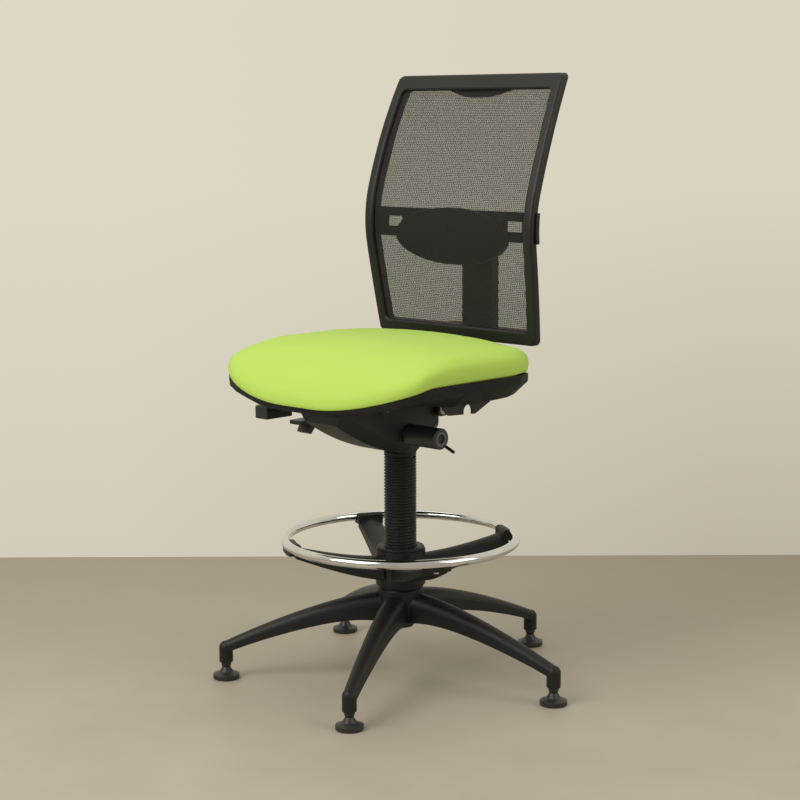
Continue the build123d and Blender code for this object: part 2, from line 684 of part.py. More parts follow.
def mech_housing():
    profile = housing_profile()
    outer = bevelled_below(extrude(Plane.YZ * profile, amount=HOUSING_HALF_WIDTH, both=True))
    inner_profile = Plane.YZ * offset(profile, -HOUSING_WALL)
    inner = bevelled_below(extrude(inner_profile, amount=HOUSING_HALF_WIDTH - HOUSING_WALL, both=True))
    lift = 2 * HOUSING_WALL
    body = outer - inner - Pos(0, 0, lift) * inner
    body += rod_z(BOSS_RADIUS, HOUSING_BOTTOM_Z, CYLINDER_TOP_Z - 4)
    wall = HOUSING_HALF_WIDTH + 1
    body += lever_posts()
    return body - [
        rod_z(CYLINDER_RADIUS, HOUSING_BOTTOM_Z - 1, CYLINDER_TOP_Z),
        rod_x(MAIN_PIN_RADIUS, -wall, wall, MAIN_PIVOT_Y, MAIN_PIVOT_Z),
        rod_x(FRONT_PIN_RADIUS, -wall, wall, FRONT_PIVOT_Y, FRONT_PIVOT_Z),
        rod_x(SHAFT_RADIUS + RUNNING_GAP, -wall, wall, KNOB_Y, KNOB_Z),
        rod_x(LOCK_ROD_RADIUS + RUNNING_GAP, 0, wall, LOCK_Y, LOCK_Z) - rod_z(BOSS_RADIUS, 0, 1000),
        lever_window(),
        lever_pin(),
    ]


def lever_window():
    half = LEVER_BAR_WIDTH / 2 + 4
    return box(-HOUSING_HALF_WIDTH - 1, LEVER_PIVOT_X + 8, -half, half, LEVER_BAR_Z - 9, LEVER_BAR_Z + 14)


def lever_posts():
    """Two posts on the side wall that carry the height lever's pin."""
    near = LEVER_BAR_WIDTH / 2 + 4
    far = near + 5
    wall = -HOUSING_HALF_WIDTH + HOUSING_WALL / 2
    low, high = LEVER_PIVOT_Z - 7, LEVER_PIVOT_Z + 7
    return [box(wall, LEVER_PIVOT_X + 7, y, y + far - near, low, high) for y in (near, -far)]


def lever_pin():
    reach = LEVER_BAR_WIDTH / 2 + 9
    return rod_y(LEVER_PIN_RADIUS, -reach, reach, LEVER_PIVOT_X, LEVER_PIVOT_Z)


def tilt_spring():
    """A torsion spring wound on the main pivot's bush."""
    coil_radius = MAIN_PIN_RADIUS + SPRING_BUSH_WALL + SLIDE_GAP + SPRING_WIRE_RADIUS
    length = SPRING_TURNS * SPRING_PITCH
    path = Helix(SPRING_PITCH, length, coil_radius)
    section = Plane(path @ 0, z_dir=path % 0) * Circle(SPRING_WIRE_RADIUS)
    coil = sweep(section, path, is_frenet=True)
    print("tilt spring: gap between turns", SPRING_PITCH - 2 * SPRING_WIRE_RADIUS)
    return Pos(-length / 2, MAIN_PIVOT_Y, MAIN_PIVOT_Z) * Rot(0, 90, 0) * coil


def pin_clips():
    clips = []
    places = [
        (MAIN_PIN_RADIUS, CHEEK_X + CHEEK_THICKNESS / 2, MAIN_PIVOT_Y, MAIN_PIVOT_Z),
        (FRONT_PIN_RADIUS, FRONT_EAR_X + EAR_THICKNESS / 2, FRONT_PIVOT_Y, FRONT_PIVOT_Z),
    ]
    for radius, x, y, z in places:
        start = x + SLIDE_GAP
        end = start + PIN_CLIP_THICKNESS
        clip = rod_x(radius + PIN_CLIP_WALL, start, end, y, z) - rod_x(radius, start, end, y, z)
        clips += [clip.solid(), mirrored(clip).solid()]
    return Compound(clips)


def mechanism_parts():
    main_half = CHEEK_X + CHEEK_THICKNESS / 2 + SLIDE_GAP + PIN_CLIP_THICKNESS + 1
    front_half = FRONT_EAR_X + EAR_THICKNESS / 2 + SLIDE_GAP + PIN_CLIP_THICKNESS + 1
    bush_half = SPRING_TURNS * SPRING_PITCH / 2 + SPRING_WIRE_RADIUS + SPRING_BUSH_END
    bush = rod_x(MAIN_PIN_RADIUS + SPRING_BUSH_WALL, -bush_half, bush_half, MAIN_PIVOT_Y, MAIN_PIVOT_Z)
    main_pin = rod_x(MAIN_PIN_RADIUS, -main_half, main_half, MAIN_PIVOT_Y, MAIN_PIVOT_Z)
    return {
        "mech_housing": mech_housing(),
        "main_pivot_pin": main_pin,
        "front_pivot_pin": rod_x(FRONT_PIN_RADIUS, -front_half, front_half, FRONT_PIVOT_Y, FRONT_PIVOT_Z),
        "pivot_clips": pin_clips(),
        "spring_bush": bush - main_pin,
        "tilt_spring": tilt_spring(),
        "lever_pin": lever_pin(),
    }


# Tension knob and its screw
def tension_knob():
    start = HOUSING_HALF_WIDTH + 1
    knob = rod_x(KNOB_RADIUS, start, KNOB_END_X, KNOB_Y, KNOB_Z)
    knob = chamfer(knob.edges().filter_by(GeomType.CIRCLE), 1.5)
    recess = rod_x(KNOB_RECESS_RADIUS, KNOB_END_X - KNOB_RECESS_DEPTH, KNOB_END_X, KNOB_Y, KNOB_Z)
    return knob - recess - knob_ring() - tension_shaft()


def knob_ring():
    start, end = KNOB_END_X - KNOB_RING_THICKNESS, KNOB_END_X
    outer = rod_x(KNOB_RECESS_RADIUS + KNOB_RING_WALL, start, end, KNOB_Y, KNOB_Z)
    return outer - rod_x(KNOB_RECESS_RADIUS, start, end, KNOB_Y, KNOB_Z)


def tension_shaft():
    end = KNOB_END_X - KNOB_RECESS_DEPTH - 2
    return rod_x(SHAFT_RADIUS, -HOUSING_HALF_WIDTH, end, KNOB_Y, KNOB_Z)


def tension_nut():
    nut = Pos(NUT_X, KNOB_Y, KNOB_Z) * Box(NUT_LENGTH, NUT_SIDE, NUT_SIDE)
    nut = fillet(nut.edges().filter_by(Axis.X), 3)
    reach = NUT_LENGTH
    return nut - rod_x(SHAFT_RADIUS + RUNNING_GAP, NUT_X - reach, NUT_X + reach, KNOB_Y, KNOB_Z)


# Levers of the mechanism
def lock_lever():
    inner_x = BOSS_RADIUS + 6
    elbow = Vector(LOCK_ELBOW_X, LOCK_Y, LOCK_Z)
    tip = Vector(LOCK_TIP_X, LOCK_TIP_Y, LOCK_TIP_Z)
    rod = rod_x(LOCK_ROD_RADIUS, inner_x, LOCK_ELBOW_X, LOCK_Y, LOCK_Z)
    cam = rod_x(LOCK_CAM_RADIUS, inner_x, inner_x + LOCK_CAM_LENGTH, LOCK_Y, LOCK_Z)
    bent = rod_between(LOCK_ROD_RADIUS, elbow, tip)
    ends = [Pos(*point) * Sphere(LOCK_ROD_RADIUS) for point in (elbow, tip)]
    return joined(rod, [cam, bent, *ends])


def height_lever():
    half = LEVER_BAR_WIDTH / 2
    inner = RELEASE_PIN_RADIUS + 4
    bar = box(LEVER_ELBOW_X, inner, -half, half, LEVER_BAR_Z, LEVER_BAR_Z + LEVER_BAR_THICKNESS)
    reach = half + 1
    pivot = rod_y(LEVER_PIN_RADIUS + RUNNING_GAP, -reach, reach, LEVER_PIVOT_X, LEVER_PIVOT_Z)
    boss = rod_y(LEVER_PIN_RADIUS + 3, -half, half, LEVER_PIVOT_X, LEVER_PIVOT_Z)
    elbow = Vector(LEVER_ELBOW_X, 0, LEVER_PIVOT_Z)
    tip = Vector(LEVER_HANDLE_X, LEVER_HANDLE_Y, LEVER_HANDLE_Z)
    rod = rod_between(LEVER_ROD_RADIUS, elbow, tip)
    knee = Pos(*elbow) * Sphere(LEVER_BAR_WIDTH / 2)
    return joined(bar, [boss, rod, knee]) - pivot


def lever_handle():
    """A flat handle with its rear end hooked down for the fingers."""
    y, z = LEVER_HANDLE_Y, LEVER_HANDLE_Z
    half, thick = LEVER_HANDLE_LENGTH / 2, LEVER_HANDLE_THICKNESS / 2
    points = [
        (y - half, z - thick), (y - half, z + thick), (y + half, z + thick),
        (y + half, z - 0.4 * LEVER_HOOK_DROP),
        (y + 0.3 * half, z - thick - LEVER_HOOK_DROP), (y - 0.15 * half, z - thick - 0.8 * LEVER_HOOK_DROP),
        (y + 0.3 * half, z - thick),
    ]
    x = LEVER_HANDLE_X
    handle = side_plate(points, x - LEVER_HANDLE_WIDTH / 2, x + LEVER_HANDLE_WIDTH / 2)
    return fillet(handle.edges().filter_by(Axis.X), 1.5) - height_lever()


# Back yoke and upright
def yoke_bolt(side):
    x = side * YOKE_BOLT_SPACING / 2
    z = (YOKE_BLOCK_BOTTOM_Z + YOKE_BLOCK_TOP_Z) / 2
    rear = YOKE_BLOCK_Y + YOKE_BLOCK_DEPTH + UPRIGHT_THICKNESS
    shank = rod_y(YOKE_BOLT_RADIUS, YOKE_BLOCK_Y + 4, rear, x, z)
    return shank + rod_y(YOKE_BOLT_HEAD_RADIUS, rear, rear + YOKE_BOLT_HEAD, x, z)


def back_yoke():
    cheek = side_plate(
        [
            (MAIN_PIVOT_Y - 14, MAIN_PIVOT_Z - 6), (MAIN_PIVOT_Y - 6, MAIN_PIVOT_Z - 12),
            (MAIN_PIVOT_Y + 8, MAIN_PIVOT_Z - 12), (LINK_Y - 50, YOKE_BLOCK_BOTTOM_Z + 2),
            (CHEEK_REAR_Y, YOKE_BLOCK_BOTTOM_Z),
            (CHEEK_REAR_Y, YOKE_BLOCK_TOP_Z), (LINK_Y - 25, YOKE_BLOCK_TOP_Z),
            (MAIN_PIVOT_Y + 10, MAIN_PIVOT_Z + 18), (MAIN_PIVOT_Y - 10, MAIN_PIVOT_Z + 12),
        ],
        CHEEK_X - CHEEK_THICKNESS / 2,
        CHEEK_X + CHEEK_THICKNESS / 2,
    )
    wide = CHEEK_X + CHEEK_THICKNESS / 2
    block_rear = YOKE_BLOCK_Y + YOKE_BLOCK_DEPTH
    block = box(-wide, wide, YOKE_BLOCK_Y, block_rear, YOKE_BLOCK_BOTTOM_Z, YOKE_BLOCK_TOP_Z)
    pivot = rod_x(MAIN_PIN_RADIUS + RUNNING_GAP, -wide - 1, wide + 1, MAIN_PIVOT_Y, MAIN_PIVOT_Z)
    return joined(block, [cheek, mirrored(cheek)]) - [pivot, link_pin(), yoke_bolt(1), yoke_bolt(-1)]


def link_pin():
    half = REAR_EAR_X + EAR_THICKNESS / 2 + 2
    return rod_x(LINK_PIN_RADIUS, -half, half, LINK_Y, LINK_Z)


def upright_bar():
    """A flat bar bolted to the yoke's rear face that turns up behind the seat."""
    foot_y = YOKE_BLOCK_Y + YOKE_BLOCK_DEPTH
    foot_z = YOKE_BLOCK_BOTTOM_Z
    mid = UPRIGHT_THICKNESS / 2
    knee_z = YOKE_BLOCK_TOP_Z + 4
    path = Polyline(
        (foot_y + mid, foot_z), (foot_y + mid, knee_z),
        (UPRIGHT_Y, knee_z + UPRIGHT_BEND), (UPRIGHT_Y, UPRIGHT_TOP_Z),
    )
    face = offset(path, mid, side=Side.BOTH)
    bar = extrude(Plane.YZ * make_face(face), amount=UPRIGHT_WIDTH / 2, both=True)
    return bar - [yoke_bolt(1), yoke_bolt(-1)]


def recline_parts():
    return {
        "back_yoke": back_yoke(),
        "upright_bar": upright_bar(),
        "link_pin": link_pin(),
        "yoke_bolts": Compound([yoke_bolt(1).solid(), yoke_bolt(-1).solid()]),
    }


# Seat carrier
def seat_carrier():
    top = CARRIER_Z + CARRIER_THICKNESS
    plate = box(-CARRIER_HALF_WIDTH, CARRIER_HALF_WIDTH, CARRIER_FRONT_Y, CARRIER_REAR_Y, CARRIER_Z, top)
    front = ear(FRONT_EAR_X, FRONT_PIVOT_Y, FRONT_PIVOT_Z - 12)
    rear = ear(REAR_EAR_X, LINK_Y, LINK_Z - 14)
    pivot = rod_x(FRONT_PIN_RADIUS + RUNNING_GAP, -100, 100, FRONT_PIVOT_Y, FRONT_PIVOT_Z)
    half = LINK_PIN_RADIUS + LINK_SLOT_CLEARANCE
    slot = box(-100, 100, LINK_Y, LINK_Y + LINK_SLOT_TRAVEL, LINK_Z - half, LINK_Z + half)
    slot_ends = [rod_x(half, -100, 100, LINK_Y + shift, LINK_Z) for shift in (0, LINK_SLOT_TRAVEL)]
    window = box(-34, 34, -70, 70, CARRIER_Z - 1, top + 1)
    body = joined(plate, [front, mirrored(front), rear, mirrored(rear)])
    return body - [pivot, slot, *slot_ends, window]


def ear(x, y, low):
    half = EAR_THICKNESS / 2
    top = CARRIER_Z + CARRIER_THICKNESS
    return box(x - half, x + half, y - EAR_HALF_LENGTH, y + EAR_HALF_LENGTH + 4, low, top)


def slide_rail():
    web_z = CARRIER_Z + CARRIER_THICKNESS
    head_z = RAIL_TOP_Z - RAIL_HEAD_HEIGHT
    y0, y1 = RAIL_Y - RAIL_LENGTH / 2, RAIL_Y + RAIL_LENGTH / 2
    web = box(RAIL_X - RAIL_WEB_WIDTH / 2, RAIL_X + RAIL_WEB_WIDTH / 2, y0, y1, web_z, head_z)
    wide = RAIL_HEAD_WIDTH / 2
    return web + box(RAIL_X - wide, RAIL_X + wide, y0, y1, head_z, RAIL_TOP_Z)


def runner_screws():
    screws = []
    wall_z = BOARD_BOTTOM_Z - RUNNER_TOP_WALL
    reach = RUNNER_LENGTH / 2 - RUNNER_SCREW_INSET
    for x in (-RAIL_X, RAIL_X):
        for y in (RUNNER_Y - reach, RUNNER_Y + reach):
            head_top = wall_z + RUNNER_SCREW_HEAD
            screw = rod_z(RUNNER_SCREW_HEAD_RADIUS, wall_z, head_top, x=x, y=y)
            screw += rod_z(RUNNER_SCREW_RADIUS, head_top, head_top + RUNNER_SCREW_LENGTH, x=x, y=y)
            screws.append(screw.solid())
    return screws


def slide_runner():
    y0, y1 = RUNNER_Y - RUNNER_LENGTH / 2, RUNNER_Y + RUNNER_LENGTH / 2
    half = RUNNER_WIDTH / 2
    body = box(RAIL_X - half, RAIL_X + half, y0, y1, RUNNER_Z, BOARD_BOTTOM_Z)
    head = RAIL_HEAD_WIDTH / 2 + SLIDE_GAP
    web = RAIL_WEB_WIDTH / 2 + SLIDE_GAP
    low = RAIL_TOP_Z - RAIL_HEAD_HEIGHT - SLIDE_GAP
    high = RAIL_TOP_Z + SLIDE_GAP
    body -= box(RAIL_X - head, RAIL_X + head, y0 - 1, y1 + 1, low, high)
    return body - box(RAIL_X - web, RAIL_X + web, y0 - 1, y1 + 1, RUNNER_Z - 1, low)


# Seat
def seat_half_width(y, inset):
    """Half the seat's width at y: elliptic front corners, round rear ones, the outline drawn in by inset."""
    front, rear = SEAT_FRONT_Y + inset, SEAT_REAR_Y - inset
    front_corner, rear_corner = SEAT_FRONT_CORNER - inset, SEAT_REAR_CORNER - inset
    half = SEAT_HALF_WIDTH - inset
    to_side = 1 - min((y - front) / front_corner, 1.0)
    to_rear = 1 - min((rear - y) / rear_corner, 1.0)
    front_cut = (SEAT_FRONT_SWEEP - inset) * (1 - math.sqrt(1 - to_side**2))
    rear_cut = rear_corner * (1 - math.sqrt(1 - to_rear**2))
    return half - front_cut - rear_cut


def seam_z(y):
    """The height of the seam, level in the middle and falling in an arc to the front and rear edges."""
    if y < SEAM_BEND_Y:
        run, fall, ahead = SEAM_BEND_Y - SEAT_FRONT_Y, SEAM_FALL, SEAM_BEND_Y - y
    else:
        run, fall, ahead = SEAT_REAR_Y - SEAM_REAR_BEND_Y, SEAM_REAR_FALL, max(0.0, y - SEAM_REAR_BEND_Y)
    radius = (run**2 + fall**2) / (2 * fall)
    return SEAM_Z - radius + math.sqrt(radius**2 - ahead**2)


def seat_stations(inset):
    front, rear = SEAT_FRONT_Y + inset, SEAT_REAR_Y - inset
    front_corner, rear_corner = SEAT_FRONT_CORNER - inset, SEAT_REAR_CORNER - inset
    turns = [math.radians(a) for a in (16, 30, 44, 58, 74, 90)]
    stations = [front + front_corner * (1 - math.cos(a)) for a in turns]
    stations += [SEAM_BEND_Y, 0.7 * SEAM_BEND_Y, SEAM_BEND_Y / 2, (SEAM_BEND_Y / 2 + rear - rear_corner) / 2]
    stations += [rear - rear_corner * (1 - math.cos(a)) for a in reversed(turns)]
    return stations


def seat_section(y, outline):
    return Plane(origin=(0, y, 0), x_dir=(1, 0, 0), z_dir=(0, -1, 0)) * make_face(outline)


def cushion_height(y):
    """The cushion's height over the seam at y, and the share of it left by the rolled ends."""
    if y < SEAM_BEND_Y / 2:
        edge = min((y - SEAT_FRONT_Y) / CUSHION_FRONT_ROLL, 1.0)
        end_height, rise = CUSHION_FRONT_HEIGHT, math.sin(edge * math.pi / 2) ** 2
    else:
        edge = min((SEAT_REAR_Y - y) / CUSHION_REAR_ROLL, 1.0)
        end_height, rise = CUSHION_REAR_HEIGHT, math.sqrt(1 - (1 - edge) ** 2)
    return end_height + (CUSHION_HEIGHT - end_height) * rise, edge


def seat_cushion():
    """A crowned pad with drawn-in sides over the seam, rolled and tucked in at its front and rear."""
    stations = seat_stations(0)
    last = len(stations) - 1
    sections = []
    for i, y in enumerate(stations):
        wide = seat_half_width(y, 0)
        height, edge = cushion_height(y)
        tuck = CUSHION_END_TUCK * max(0.0, 1 - 0.7 * min(i, last - i))
        low, height = seam_z(y) + tuck, height - 2 * tuck
        fullness = height / CUSHION_HEIGHT
        foot, shoulder = wide - CUSHION_DRAW_IN * fullness, wide - CUSHION_TOP_INSET * fullness
        mid_z, high_z = low + 0.42 * height, low + 0.9 * height
        crown_z = low + height + CUSHION_CROWN * edge
        sections.append(seat_section(y, [
            Line((-foot, low), (foot, low)),
            ThreePointArc((foot, low), (wide, mid_z), (shoulder, high_z)),
            ThreePointArc((shoulder, high_z), (0, crown_z), (-shoulder, high_z)),
            ThreePointArc((-shoulder, high_z), (-wide, mid_z), (-foot, low)),
        ]))
    return loft(sections)


def shell_bottom_z(y):
    """The height of the shell's underside, level in the middle and sloping to the front and rear edges."""
    if y < SHELL_FLAT_FRONT_Y:
        share = (SHELL_FLAT_FRONT_Y - y) / (SHELL_FLAT_FRONT_Y - SEAT_FRONT_Y)
        return SHELL_BOTTOM_Z + share * (seam_z(SEAT_FRONT_Y) - SHELL_FRONT_DEPTH - SHELL_BOTTOM_Z)
    if y > SHELL_FLAT_REAR_Y:
        share = (y - SHELL_FLAT_REAR_Y) / (SEAT_REAR_Y - SHELL_FLAT_REAR_Y)
        return SHELL_BOTTOM_Z + share * (seam_z(SEAT_REAR_Y) - SHELL_REAR_DEPTH - SHELL_BOTTOM_Z)
    return SHELL_BOTTOM_Z


def shell_slope(y):
    """How far the shell's full depth draws in at y, more at the front than in the middle and rear."""
    share = min(max((y - SEAM_BEND_Y) / (SEAM_BEND_Y / 2 - SEAM_BEND_Y), 0.0), 1.0)
    return SHELL_FRONT_SLOPE + share * (SHELL_REAR_SLOPE - SHELL_FRONT_SLOPE)


def shell_body(wall, rise):
    """The shell's outer form, or with a wall and a rise the hollow inside it."""
    inset = SHELL_INSET + wall
    stations = sorted(seat_stations(inset) + [SHELL_FLAT_FRONT_Y, SHELL_FLAT_REAR_Y, SEAM_REAR_BEND_Y])
    sections = []
    for y in stations:
        rim = seat_half_width(y, inset)
        high = seam_z(y) - SEAM_GAP
        low = shell_bottom_z(y) + wall
        foot = rim - shell_slope(y) * (high - low) / SHELL_DEPTH
        brow = high - min(SHELL_RIM, SHELL_RIM_SHARE * (high - low))
        outline = Polyline(
            (-foot, low), (foot, low), (rim, brow), (rim, high + rise),
            (-rim, high + rise), (-rim, brow), close=True,
        )
        sections.append(seat_section(y, [outline]))
    return loft(sections, ruled=True)


def seat_shell():
    """A hollow shell whose floor and rear wall are open for the carrier at every seat depth."""
    half = SHELL_OPENING_HALF_WIDTH
    top = CARRIER_Z + CARRIER_THICKNESS + SHELL_OPENING_CLEARANCE
    opening = box(-half, half, SHELL_OPENING_FRONT_Y, SEAT_REAR_Y, 0, top)
    body = shell_body(0, 0) - shell_body(SHELL_WALL, 1) - opening
    lugs = [depth_lug(-1), depth_lug(1)]
    return joined(body, lugs) - [depth_pin(), *bracket_screws()]


def seat_plan(inset):
    half, front, rear = SEAT_HALF_WIDTH - inset, SEAT_FRONT_Y + inset, SEAT_REAR_Y - inset
    sweep, depth, corner = SEAT_FRONT_SWEEP - inset, SEAT_FRONT_CORNER - inset, SEAT_REAR_CORNER - inset
    front_x, front_y = half - sweep, front + depth
    rear_x, rear_y = half - corner, rear - corner
    return make_face([
        Line((-front_x, front), (front_x, front)),
        EllipticalCenterArc((front_x, front_y), sweep, depth, 270, arc_size=90),
        Line((half, front_y), (half, rear_y)),
        CenterArc((rear_x, rear_y), corner, 0, 90),
        Line((rear_x, rear), (-rear_x, rear)),
        CenterArc((-rear_x, rear_y), corner, 90, 90),
        Line((-half, rear_y), (-half, front_y)),
        EllipticalCenterArc((-front_x, front_y), sweep, depth, 180, arc_size=90),
    ])


def seat_board():
    """A moulded board under the cushion, level in the middle and bent down at the front and rear."""
    def at(y, drop):
        return (y, seam_z(y) - drop)

    def surface(drop):
        front_y, rear_y = (SEAM_BEND_Y + SEAT_FRONT_Y) / 2, (SEAM_REAR_BEND_Y + SEAT_REAR_Y) / 2
        return [
            ThreePointArc(at(SEAT_REAR_Y, drop), at(rear_y, drop), at(SEAM_REAR_BEND_Y, drop)),
            Line(at(SEAM_REAR_BEND_Y, drop), at(SEAM_BEND_Y, drop)),
            ThreePointArc(at(SEAM_BEND_Y, drop), at(front_y, drop), at(SEAT_FRONT_Y, drop)),
        ]

    top, bottom = SEAM_GAP, SEAM_GAP + BOARD_THICKNESS
    ends = [Line(at(y, top), at(y, bottom)) for y in (SEAT_REAR_Y, SEAT_FRONT_Y)]
    profile = make_face(surface(top) + surface(bottom) + ends)
    slab = extrude(Plane.YZ * profile, amount=SEAT_HALF_WIDTH, both=True)
    column = extrude(seat_plan(BOARD_INSET), amount=SEAM_Z + 50)
    return (slab & column) - runner_screws()


# Arm brackets and depth lever under the seat
def bracket_screw_places():
    x = BRACKET_X - 0.6 * BRACKET_FLANGE
    return [(x, BRACKET_FRONT_Y + 20), (x, BRACKET_REAR_Y - 20)]


def bracket_screws():
    screws = []
    flange_z = SHELL_BOTTOM_Z - BRACKET_THICKNESS
    for x, y in bracket_screw_places():
        for side in (-1, 1):
            screw = rod_z(BRACKET_SCREW_HEAD_RADIUS, flange_z - BRACKET_SCREW_HEAD, flange_z, x=side * x, y=y)
            screw += rod_z(BRACKET_SCREW_RADIUS, flange_z, SHELL_BOTTOM_Z + SHELL_WALL + 4, x=side * x, y=y)
            screws.append(screw.solid())
    return screws


def arm_bracket():
    """A bent plate with an open notch and a hooked rear end for an armrest's fixing."""
    top = SHELL_BOTTOM_Z
    low = top - BRACKET_DROP
    half = BRACKET_NOTCH_WIDTH / 2
    plate = side_plate(
        [
            (BRACKET_FRONT_Y, top), (BRACKET_FRONT_Y, low + 12), (BRACKET_FRONT_Y + 14, low),
            (BRACKET_NOTCH_Y + half + 8, low - 4), (BRACKET_REAR_Y, top - 8), (BRACKET_REAR_Y, top),
        ],
        BRACKET_X,
        BRACKET_X + BRACKET_THICKNESS,
    )
    notch_top = low + BRACKET_NOTCH_HEIGHT - half
    far = BRACKET_X + BRACKET_THICKNESS + 1
    notch = box(BRACKET_X - 1, far, BRACKET_NOTCH_Y - half, BRACKET_NOTCH_Y + half, low - 10, notch_top)
    notch_round = rod_x(half, BRACKET_X - 1, far, BRACKET_NOTCH_Y, notch_top)
    inner = BRACKET_X - BRACKET_FLANGE
    flange = box(inner, BRACKET_X, BRACKET_FRONT_Y, BRACKET_REAR_Y, top - BRACKET_THICKNESS, top)
    return plate + flange - notch - notch_round - bracket_screws()


def depth_lug(side):
    start = DEPTH_ARM_WIDTH / 2 + SLIDE_GAP
    y0, y1 = sorted((DEPTH_Y + side * start, DEPTH_Y + side * (start + DEPTH_LUG_WIDTH)))
    lug = rod_y(DEPTH_LUG_RADIUS, y0, y1, DEPTH_PIVOT_X, DEPTH_PIVOT_Z)
    left, right = DEPTH_PIVOT_X - DEPTH_LUG_RADIUS, DEPTH_PIVOT_X + DEPTH_LUG_RADIUS
    return lug + box(left, right, y0, y1, DEPTH_PIVOT_Z, SHELL_BOTTOM_Z + SHELL_WALL / 2)


def depth_pin():
    half = DEPTH_ARM_WIDTH / 2 + SLIDE_GAP + DEPTH_LUG_WIDTH
    return rod_y(DEPTH_PIN_RADIUS, DEPTH_Y - half, DEPTH_Y + half, DEPTH_PIVOT_X, DEPTH_PIVOT_Z)


def depth_lever():
    """A lever arm on a cross pin with a box-shaped paddle for the hand."""
    inner = DEPTH_PADDLE_X + DEPTH_PADDLE_WIDTH / 2
    half = DEPTH_ARM_WIDTH / 2
    ring = DEPTH_LUG_RADIUS - 1
    outline = [
        (DEPTH_PIVOT_X + ring / 2, DEPTH_PIVOT_Z + ring), (DEPTH_PIVOT_X + ring / 2, DEPTH_PIVOT_Z - ring),
        (inner - 6, DEPTH_PADDLE_Z - 4), (inner - 6, DEPTH_PADDLE_Z + 8),
        (DEPTH_PIVOT_X - ring, DEPTH_PIVOT_Z + ring),
    ]
    face = Plane.XZ * make_face(Polyline(*outline, close=True))
    arm = Pos(0, DEPTH_Y, 0) * extrude(face, amount=half, both=True)
    paddle = Pos(DEPTH_PADDLE_X, DEPTH_Y, DEPTH_PADDLE_Z)
    paddle *= Box(DEPTH_PADDLE_WIDTH, DEPTH_PADDLE_LENGTH, DEPTH_PADDLE_HEIGHT)
    paddle = fillet(paddle.edges(), 3)
    reach = half + 1
    bore = DEPTH_PIN_RADIUS + RUNNING_GAP
    pin = rod_y(bore, DEPTH_Y - reach, DEPTH_Y + reach, DEPTH_PIVOT_X, DEPTH_PIVOT_Z)
    return arm + paddle - pin


# Back frame
def back_curve(depth):
    """Side view of the back at a depth behind its front face: a straight foot and two arcs."""
    low, high = math.radians(LUMBAR_LOW_DEG), math.radians(LUMBAR_HIGH_DEG)

    def on_arc(centre, radius, angle):
        return (centre[0] - radius * math.cos(angle), centre[1] + radius * math.sin(angle))

    lumbar = (LUMBAR_CENTRE_Y, LUMBAR_Z)
    crest = on_arc(lumbar, LUMBAR_RADIUS, high)
    upper = (crest[0] + UPPER_BACK_RADIUS * math.cos(high), crest[1] - UPPER_BACK_RADIUS * math.sin(high))
    end = math.asin((BACK_TOP_Z + FRAME_DEPTH - upper[1]) / (UPPER_BACK_RADIUS - FRAME_DEPTH))
    first = LUMBAR_RADIUS - depth
    second = UPPER_BACK_RADIUS - depth
    knee = on_arc(lumbar, first, low)
    drop = (knee[1] - BACK_BOTTOM_Z + FRAME_DEPTH) / math.cos(low)
    foot = (knee[0] - drop * math.sin(low), knee[1] - drop * math.cos(low))
    joint = on_arc(lumbar, first, high)
    top = on_arc(upper, second, end)
    edges = [
        Line(foot, knee),
        ThreePointArc(knee, on_arc(lumbar, first, (low + high) / 2), joint),
        ThreePointArc(joint, on_arc(upper, second, (high + end) / 2), top),
    ]
    return edges, foot, top


def back_slab(front, rear):
    """The curved slab between two depths behind the back's front face."""
    near, near_foot, near_top = back_curve(front)
    far, far_foot, far_top = back_curve(rear)
    face = make_face(near + far + [Line(near_foot, far_foot), Line(near_top, far_top)])
    return extrude(Plane.YZ * face, amount=BACK_TOP_HALF_WIDTH + 20, both=True)


def back_half_width(z):
    """Half the back's width at a height, on a parabola through its bottom, middle and top widths."""
    low, middle, high = BACK_BOTTOM_Z, BACK_MIDDLE_Z, BACK_TOP_Z
    return (
        BACK_BOTTOM_HALF_WIDTH * (z - middle) * (z - high) / ((low - middle) * (low - high))
        + BACK_MIDDLE_HALF_WIDTH * (z - low) * (z - high) / ((middle - low) * (middle - high))
        + BACK_TOP_HALF_WIDTH * (z - low) * (z - middle) / ((high - low) * (high - middle))
    )


def back_outline(side, low, high, corner):
    """The back's outline seen from the front, drawn in by side, between two heights, as a column along Y."""
    middle = (low + high) / 2
    low_half, middle_half, high_half = (back_half_width(z) - side for z in (low, middle, high))
    outline = make_face([
        Line((-low_half, low), (low_half, low)),
        ThreePointArc((low_half, low), (middle_half, middle), (high_half, high)),
        Line((high_half, high), (-high_half, high)),
        ThreePointArc((-high_half, high), (-middle_half, middle), (-low_half, low)),
    ])
    outline = fillet(outline.vertices(), corner)
    return extrude(Plane.XZ * outline, amount=500, both=True)


def back_window():
    low, high = BACK_BOTTOM_Z + FRAME_BOTTOM_BAND, BACK_TOP_Z - FRAME_TOP_BAND
    return back_outline(FRAME_SIDE_BAND, low, high, FRAME_WINDOW_CORNER)


def facing(solid, side):
    """The solid's faces that look backward (side 1) or forward (side -1)."""
    return ShapeList(face for face in solid.faces() if side * face.normal_at().Y > 0.5)


def rim_edges(faces):
    """The edges round a run of faces, without the ones between two of them."""
    edges = ShapeList(edge for face in faces for edge in face.edges())
    return ShapeList(edge for edge in edges if sum(edge.is_same(other) for other in edges) == 1)


def in_window(edge):
    centre = edge.center()
    inner = back_half_width(centre.Z) - FRAME_SIDE_BAND / 2
    return abs(centre.X) < inner and BACK_BOTTOM_Z + 4 < centre.Z < BACK_TOP_Z - 4


